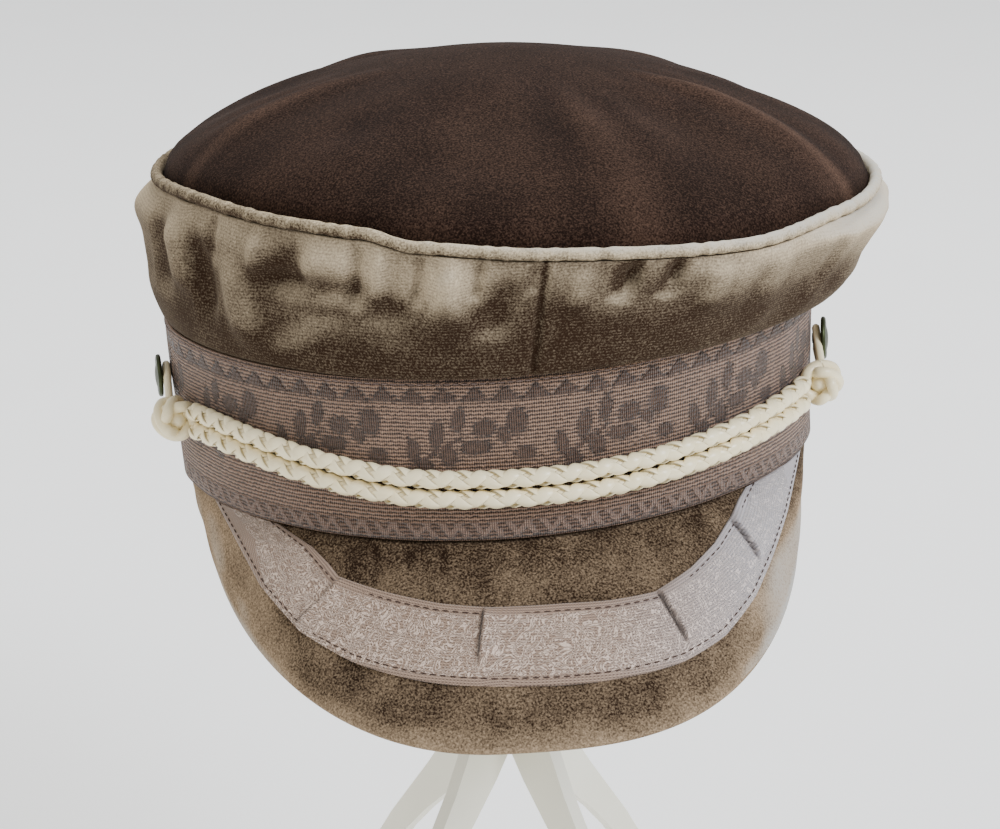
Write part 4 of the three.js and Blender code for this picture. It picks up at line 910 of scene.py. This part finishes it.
def plait_tree():
    tree, size = start_tree("round_plait", PLAIT_SIZES)
    length = add(tree, "GeometryNodeCurveLength", size["Geometry"])
    join = add(tree, "GeometryNodeJoinGeometry")
    for way, start in ((1, 0.0), (1, math.pi), (-1, math.pi / 2), (-1, 3 * math.pi / 2)):
        grid = add(tree, "GeometryNodeMeshGrid", 1.0, 1.0, PLAIT_STEPS, STRIP_POINTS)
        spot = add(tree, "ShaderNodeSeparateXYZ", add(tree, "GeometryNodeInputPosition"))
        share = add(tree, "ShaderNodeMath ADD", spot.outputs[0], 0.5)
        round_strip = add(tree, "ShaderNodeMath MULTIPLY_ADD", spot.outputs[1], 2 * math.pi, math.pi)
        on = add(tree, "GeometryNodeSampleCurve", {"Curves": size["Geometry"], "Factor": share},
                 mode="FACTOR")
        travel = add(tree, "ShaderNodeMath MULTIPLY", share, length)
        turn = add(tree, "ShaderNodeMath DIVIDE",
                   add(tree, "ShaderNodeMath MULTIPLY", travel, 2 * math.pi * way),
                   size["Pitch"])
        over = add(tree, "ShaderNodeMath SINE", add(tree, "ShaderNodeMath MULTIPLY", turn, 2.0))
        # The strip closes to a point at each end
        rest = add(tree, "ShaderNodeMath SUBTRACT", 1.0, share)
        taper = add(tree, "ShaderNodeMath MULTIPLY", add(tree, "ShaderNodeMath MINIMUM", share, rest),
                    TAPER)
        taper = add(tree, "ShaderNodeClamp", taper)
        # The strip is wrapped round the core, so its width is an angle
        lean = add(tree, "ShaderNodeMath COSINE", round_strip)
        angle = add(tree, "ShaderNodeMath MULTIPLY_ADD",
                    add(tree, "ShaderNodeMath MULTIPLY", lean, taper),
                    size["Strip Half Angle"], add(tree, "ShaderNodeMath ADD", turn, start))
        # A flat strip with rolled edges, over and under the others in turn
        rise = add(tree, "ShaderNodeMath MULTIPLY", add(tree, "ShaderNodeMath SINE", round_strip),
                   EDGE_ROLL)
        rise = add(tree, "ShaderNodeClamp", rise, -1.0, 1.0)
        reach = add(tree, "ShaderNodeMath MULTIPLY_ADD", over, size["Weave"], size["Radius"])
        reach = add(tree, "ShaderNodeMath MULTIPLY_ADD",
                    add(tree, "ShaderNodeMath MULTIPLY", rise, taper),
                    size["Strip Thickness"], reach)
        normal = on.outputs["Normal"]
        side = add(tree, "ShaderNodeVectorMath CROSS_PRODUCT", on.outputs["Tangent"], normal)
        point = on.outputs["Position"]
        for direction, wave in ((normal, "COSINE"), (side, "SINE")):
            amount = add(tree, "ShaderNodeMath MULTIPLY", add(tree, "ShaderNodeMath " + wave, angle),
                         reach)
            arm = add(tree, "ShaderNodeVectorMath SCALE", {0: direction, "Scale": amount})
            point = add(tree, "ShaderNodeVectorMath ADD", point, arm)
        # The material paints shade on each strip towards its two edges
        edge = add(tree, "ShaderNodeMath ABSOLUTE", lean)
        marked = add(tree, "GeometryNodeStoreNamedAttribute",
                     {"Geometry": grid, "Name": "tone_and_painted_light", "Value": edge},
                     data_type="FLOAT", domain="POINT")
        moved = add(tree, "GeometryNodeSetPosition", {"Geometry": marked, "Position": point})
        fill(tree, join,
             {0: add(tree, "GeometryNodeMergeByDistance", {"Geometry": moved, "Distance": 0.00001})})
    # A plain core shuts the pinholes between the strips
    ring = add(tree, "GeometryNodeCurvePrimitiveCircle",
               {"Resolution": 10, "Radius": size["Core Radius"]})
    fill(tree, join, {0: add(tree, "GeometryNodeCurveToMesh", {
        "Curve": size["Geometry"], "Profile Curve": ring, "Fill Caps": True})})
    end_tree(tree, add(tree, "GeometryNodeSetShadeSmooth", join), size["Material"])
    return tree


PLAIT = plait_tree()
print("plait tree made, with", len(PLAIT.nodes), "nodes")

# %% [markdown]
# A tree works on an object, so each row or cord starts as a plain curve. The curve's evaluated shape is
# kept as a mesh of its own, which no modifier can change later, and the curve is thrown away.

# %% From a curve to a finished piece
def route_curve(name, points):
    curve = bpy.data.curves.new(name, "CURVE")
    curve.dimensions = "3D"
    spline = curve.splines.new("POLY")
    spline.points.add(len(points) - 1)
    spline.points.foreach_set("co", np.column_stack([points, np.ones(len(points))]).ravel())
    return place_in_scene(name, curve)


def grow(source, tree, name, slot, replaces=(), **inputs):
    """Runs a node tree on a curve and keeps the result as a plain mesh."""
    modifier = source.modifiers.new("grow", "NODES")
    modifier.node_group = tree
    for item in tree.interface.items_tree:
        if item.in_out == "INPUT" and item.name in inputs:
            modifier[item.identifier] = inputs[item.name]
    graph = bpy.context.evaluated_depsgraph_get()
    mesh = bpy.data.meshes.new_from_object(source.evaluated_get(graph))
    bpy.data.objects.remove(source, do_unlink=True)
    face_outwards(mesh)
    mesh.name = name
    settle(place_in_scene(name, mesh), replaces)


# %% [markdown]
# The cord lies doubled on the ribbon, held by a knot at each end. Its route is a short list of points
# read off the photograph, and the two lines run beside it, half a spacing up and down.

# %% The doubled braid
def on_band(azimuth, height, out):
    """A point that stands out from the ribbon's face, height in millimetres above the hem."""
    base = band_point(azimuth, height - hem_height(azimuth), 0)
    a = np.radians(azimuth)
    across = stack(-BAND_HALF_WIDTH * np.sin(a), BAND_HALF_DEPTH * np.cos(a), 0 * a)
    across /= np.linalg.norm(across, axis=-1, keepdims=True)
    out_way = np.cross(across, stack(0 * a, 0 * a, 1 + 0 * a))
    return base + out_way * np.asarray(out)[..., None]


t = np.linspace(0, len(CORD_ROUTE) - 1, 260)
route = through(CORD_ROUTE, t)
for name, rise in (("cord_upper", CORD_SPACING / 2), ("cord_lower", -CORD_SPACING / 2)):
    middle_line = on_band(route[:, 0], route[:, 1] * BAND_HEIGHT + rise, CLEARANCE + CORD_RADIUS + 0 * t)
    print(name, "is", round(float(np.linalg.norm(np.diff(middle_line, axis=0), axis=1).sum())), "mm long")
    grow(route_curve(name + "_route", to_row(middle_line)), PLAIT, name + "_plait", "braid", (name,),
         Material=BRAID)

# %% [markdown]
# Each end of the braid is a knot of its own strips wound over one another. A hand-drawn curve could
# follow it, but a formula keeps the strands even: one closed line winds round a small barrel. From it a
# thin bight runs round the button's shank, and the button is a turned profile.

# %% Knots, bights and buttons
def tube(points, radius, sides, closed):
    """Sweeps a round section along points, with frames that don't twist."""
    count = len(points)
    ahead = np.roll(points, -1, 0) - np.roll(points, 1, 0)
    if not closed:
        ahead[0], ahead[-1] = points[1] - points[0], points[-1] - points[-2]
    ahead /= np.linalg.norm(ahead, axis=1, keepdims=True)
    up = np.zeros((count, 3))
    up[0] = np.cross(ahead[0], (0.3, 0.9, 0.2))
    for k in range(1, count):
        up[k] = up[k - 1] - ahead[k] * (up[k - 1] @ ahead[k])
    up /= np.linalg.norm(up, axis=1, keepdims=True)
    side = np.cross(ahead, up)
    turns = np.radians(np.linspace(0, 360, sides, endpoint=False))
    radius = np.broadcast_to(radius, (count,))[:, None, None]
    across = up[:, None] * np.cos(turns)[None, :, None] + side[:, None] * np.sin(turns)[None, :, None]
    return (points[:, None] + radius * across).reshape(-1, 3)


def band_basis(azimuth):
    a = math.radians(azimuth)
    across = np.array([-BAND_HALF_WIDTH * math.sin(a), BAND_HALF_DEPTH * math.cos(a), 0])
    across /= np.linalg.norm(across)
    return np.array([across, (0, 0, 1), np.cross(across, (0, 0, 1))])


# The strand, the barrel and their fineness
KNOT_STEPS, STRAND_SIDES, STRAND_RADIUS, STRAND_OUT, STRAND_WEAVE = 420, 10, 1.6, 0.6, 0.7
KNOT_HALF_LENGTH, BARREL_HALF_LENGTH, BARREL_RADIUS, BARREL_STEPS, BARREL_SIDES = 3.9, 4.2, 3.6, 12, 16
BIGHT_RADIUS, BIGHT_BEND, BUTTON_SIDES = 1.15, 3.0, 48


def knot_points(centre, basis):
    """A five-part turk's head: the line winds three times round the barrel."""
    t = np.linspace(0, 2 * math.pi, KNOT_STEPS, endpoint=False)
    radius = KNOT_RING + STRAND_OUT + STRAND_WEAVE * np.cos(5 * t)
    along = KNOT_HALF_LENGTH * np.sin(5 * t)
    local = np.column_stack([along, radius * np.cos(3 * t), radius * np.sin(3 * t)])
    return centre + local @ basis


for side, (knot_at, knot_up, button_at, button_up) in ENDS.items():
    knot_out = CLEARANCE + KNOT_RING + KNOT_CORD
    centre = on_band(np.array(float(knot_at)), knot_up * BAND_HEIGHT, np.array(knot_out - STRAND_OUT))
    winding = tube(knot_points(centre, band_basis(knot_at)), STRAND_RADIUS, STRAND_SIDES, True)
    axle = band_basis(knot_at)[0]
    barrel = centre + axle * np.linspace(-BARREL_HALF_LENGTH, BARREL_HALF_LENGTH, BARREL_STEPS)[:, None]
    swell = np.sin(np.linspace(0.25, math.pi - 0.25, BARREL_STEPS))
    core = tube(barrel, BARREL_RADIUS * swell, BARREL_SIDES, False)
    knot_faces = ring_faces(KNOT_STEPS, STRAND_SIDES).tolist()
    knot_faces += [[v + len(winding) for v in face] for face in strip_faces(BARREL_STEPS, BARREL_SIDES)]
    make_piece("knot_" + side + "_wound", to_row(np.concatenate([winding, core])), knot_faces, BRAID,
               "knot_" + side)
    way = np.sign(button_at - knot_at)
    start = centre + band_basis(knot_at)[0] * way * 3.5
    goal = on_band(np.array(float(button_at)), button_up * BAND_HEIGHT, np.array(CLEARANCE + 1.2))
    basis = band_basis(button_at)
    turn = np.radians(np.linspace(100, -100, 24))
    curl = np.cos(turn)[:, None] * way * basis[0] + np.sin(turn)[:, None] * basis[1]
    bight = goal + BIGHT_BEND * curl
    first = start + (bight[0] - start) * np.linspace(0, 0.92, 14)[:, None]
    last = bight[-1] + (start - bight[-1]) * np.linspace(0.08, 1, 14)[:, None]
    line = np.concatenate([first, bight, last])
    sections = tube(line, BIGHT_RADIUS, STRAND_SIDES, False)
    make_piece("loop_" + side + "_bight", to_row(sections), strip_faces(len(line), STRAND_SIDES), BRAID,
               "loop_" + side)
    # A struck face with a rolled rim, turned round the shank's axis
    profile = [(0.0, 0.3), (1.5, 0.3), (1.5, 3.0), (5.6, 3.0), (6.1, 3.2), (6.2, 3.7), (6.0, 4.2),
               (5.5, 4.4),
               (5.0, 4.15), (4.2, 4.3), (2.6, 4.75), (1.2, 4.95), (0.0, 5.0)]
    turns = np.radians(np.linspace(0, 360, BUTTON_SIDES, endpoint=False))[:, None]
    r = np.array([max(p[0], 0.02) for p in profile])[None, :]
    h = np.array([p[1] for p in profile])[None, :] + 0 * turns
    foot = on_band(np.array(float(button_at)), button_up * BAND_HEIGHT, np.array(0.0))
    local = np.stack([r * np.cos(turns), r * np.sin(turns), h], -1)
    disc = foot + local @ basis
    count = len(profile)
    quads = ring_faces(BUTTON_SIDES, count).reshape(BUTTON_SIDES, count, 4)
    faces = quads[:, :-1].reshape(-1, 4).tolist()
    faces += [[k * count + end for k in range(BUTTON_SIDES)] for end in (0, count - 1)]
    make_piece("button_" + side + "_struck", to_row(disc), faces, BRASS, "button_" + side)

# %% [markdown]
# ## Stitches
# Rows of lock stitches hold the ribbons. A dashed line in the material would lie flat, so one node tree
# lays a small capsule at every stitch along a curve. Only the spacing and thread change between rows.

# %% Stitch rows
STITCH_SIZES = {"Spacing": 0.0026, "Stitch Length": 0.0019, "Thread": 0.0002}
THREAD_RISE = 0.12


def stitch_tree():
    tree, size = start_tree("stitch_row", STITCH_SIZES)
    places = add(tree, "GeometryNodeCurveToPoints",
                 {"Curve": size["Geometry"], "Length": size["Spacing"]},
                 mode="LENGTH")
    capsule = add(tree, "GeometryNodeMeshUVSphere", {"Segments": 6, "Rings": 5, "Radius": 1.0})
    half_length = add(tree, "ShaderNodeMath MULTIPLY", size["Stitch Length"], 0.5)
    stretch = add(tree, "ShaderNodeCombineXYZ", size["Thread"], size["Thread"], half_length)
    laid = add(tree, "GeometryNodeInstanceOnPoints", {
        "Points": places, "Instance": capsule, "Rotation": places.outputs["Rotation"], "Scale": stretch})
    end_tree(tree, laid, size["Material"])
    return tree


STITCHES = stitch_tree()
turns = np.linspace(-180, 180, 500)
band_top = band_point(turns, BAND_HEIGHT - 1.4 + 0 * turns, -0.1)
grow(route_curve("band_top_route", to_row(band_top)), STITCHES, "band_top_stitches", "jacquard_ribbon",
     Spacing=0.0024, Material=THREAD)
for name, at in (("inner", 0.09), ("outer", 0.91)):
    k = np.arange(2, RIBBON_STEPS - 2)
    a = angles[k, 0] + (angles[k, -1] - angles[k, 0]) * at
    b = shares[k, 0] + (shares[k, -1] - shares[k, 0]) * at
    seam = peak_point(a, b, -RIBBON_LIFT - RIBBON_BOW * math.sin(math.pi * at) - THREAD_RISE + 0 * a)
    grow(route_curve("peak_" + name + "_route", to_row(seam)), STITCHES, "peak_" + name + "_stitches",
         "jacquard_ribbon", Spacing=0.0027, Material=DARK_THREAD)

# %% [markdown]
# ## Stand
# The stand keeps its CAD shape, since it is moulded in flat plates. Drawing it again would gain nothing,
# so a merged copy gets its edges rounded, as a moulding has, and stands for the CAD node.

# %% Hat stand
cad_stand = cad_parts["hat_stand"]
stand_mesh = cad_stand.data.copy()
bm = bmesh.new()
bm.from_mesh(stand_mesh)
bmesh.ops.remove_doubles(bm, verts=bm.verts, dist=0.00001)
bmesh.ops.dissolve_limit(bm, angle_limit=math.radians(1), verts=bm.verts, edges=bm.edges)
bm.to_mesh(stand_mesh)
bm.free()
stand_mesh.materials.clear()
stand_mesh.materials.append(PLASTIC)
stand = place_in_scene("hat_stand_moulded", stand_mesh)
bevel = stand.modifiers.new("edge", "BEVEL")
bevel.width, bevel.segments, bevel.limit_method, bevel.angle_limit = 0.0006, 2, "ANGLE", math.radians(40)
settle(stand, ("hat_stand",))

# %% [markdown]
# ## Floor, light and camera
# A pale floor fills the view, because the camera looks down at it. The light is soft and large, a
# little stronger and cooler from the right.

# %% Floor and lights
floor_mesh = bpy.data.meshes.new("floor")
floor_mesh.from_pydata([(-6, -3, 0), (6, -3, 0), (6, 9, 0), (-6, 9, 0)], [], [(0, 1, 2, 3)])
floor = place_in_scene("floor", floor_mesh)
floor_look, tree, shader, place = start_material("pale_painted_board")
mottle = add(tree, "ShaderNodeTexNoise", {"Vector": place, "Scale": 14.0, "Detail": 3.0})
# The board is a little overexposed, so it gives off some light of its own
fill(tree, shader,
     {"Base Color": layered(tree, colour("#f4f4f2"), (mottle, colour("#f9f9f7"))), "Roughness": 0.9,
                    "Emission Color": colour("#ffffff"), "Emission Strength": 0.22})
floor_mesh.materials.append(floor_look)

world = bpy.data.worlds.new("studio")
bpy.context.scene.world = world
world.use_nodes = True
sky = world.node_tree.nodes["Background"]
sky.inputs[0].default_value = colour("#eef0f2")
sky.inputs[1].default_value = 0.9


def soft_light(name, place, aim, size, watts, tint):
    lamp = bpy.data.lights.new(name, "AREA")
    lamp.shape, lamp.size, lamp.energy, lamp.color = "DISK", size, watts, colour(tint)[:3]
    thing = place_in_scene(name, lamp)
    thing.location = place
    thing.rotation_euler = (Vector(aim) - Vector(place)).to_track_quat("-Z", "Y").to_euler()


soft_light("key_right", (1.3, -0.9, 1.5), (0, -0.02, 0.25), 0.8, 40, "#eef3ff")
soft_light("fill_left", (-1.5, -0.7, 1.2), (0, -0.02, 0.25), 1.2, 6, "#fff6ea")
soft_light("top_back", (0.1, 0.9, 1.6), (0, 0.0, 0.28), 0.8, 22, "#ffffff")

# %% [markdown]
# The camera stands where the photograph was taken from: in front, 20 degrees above level, with a long
# lens. Its distance and aim were fitted to the ends of the hem, the braid and the peak.

# %% Camera
AIM = (0.8, -97.0, 35.0)
DISTANCE, ELEVATION, SENSOR, LENS = 0.85, math.radians(20), 36, 115.67
target = Vector((cap_origin + pitch @ np.array(AIM)) / 1000)
camera = place_in_scene("camera", bpy.data.cameras.new("camera"))
camera.location = target + DISTANCE * Vector((0, -math.cos(ELEVATION), math.sin(ELEVATION)))
camera.rotation_euler = (math.radians(90) - ELEVATION, 0, 0)
camera.data.sensor_width, camera.data.lens = SENSOR, LENS
camera.data.clip_start, camera.data.clip_end = 0.05, 50
bpy.context.scene.camera = camera
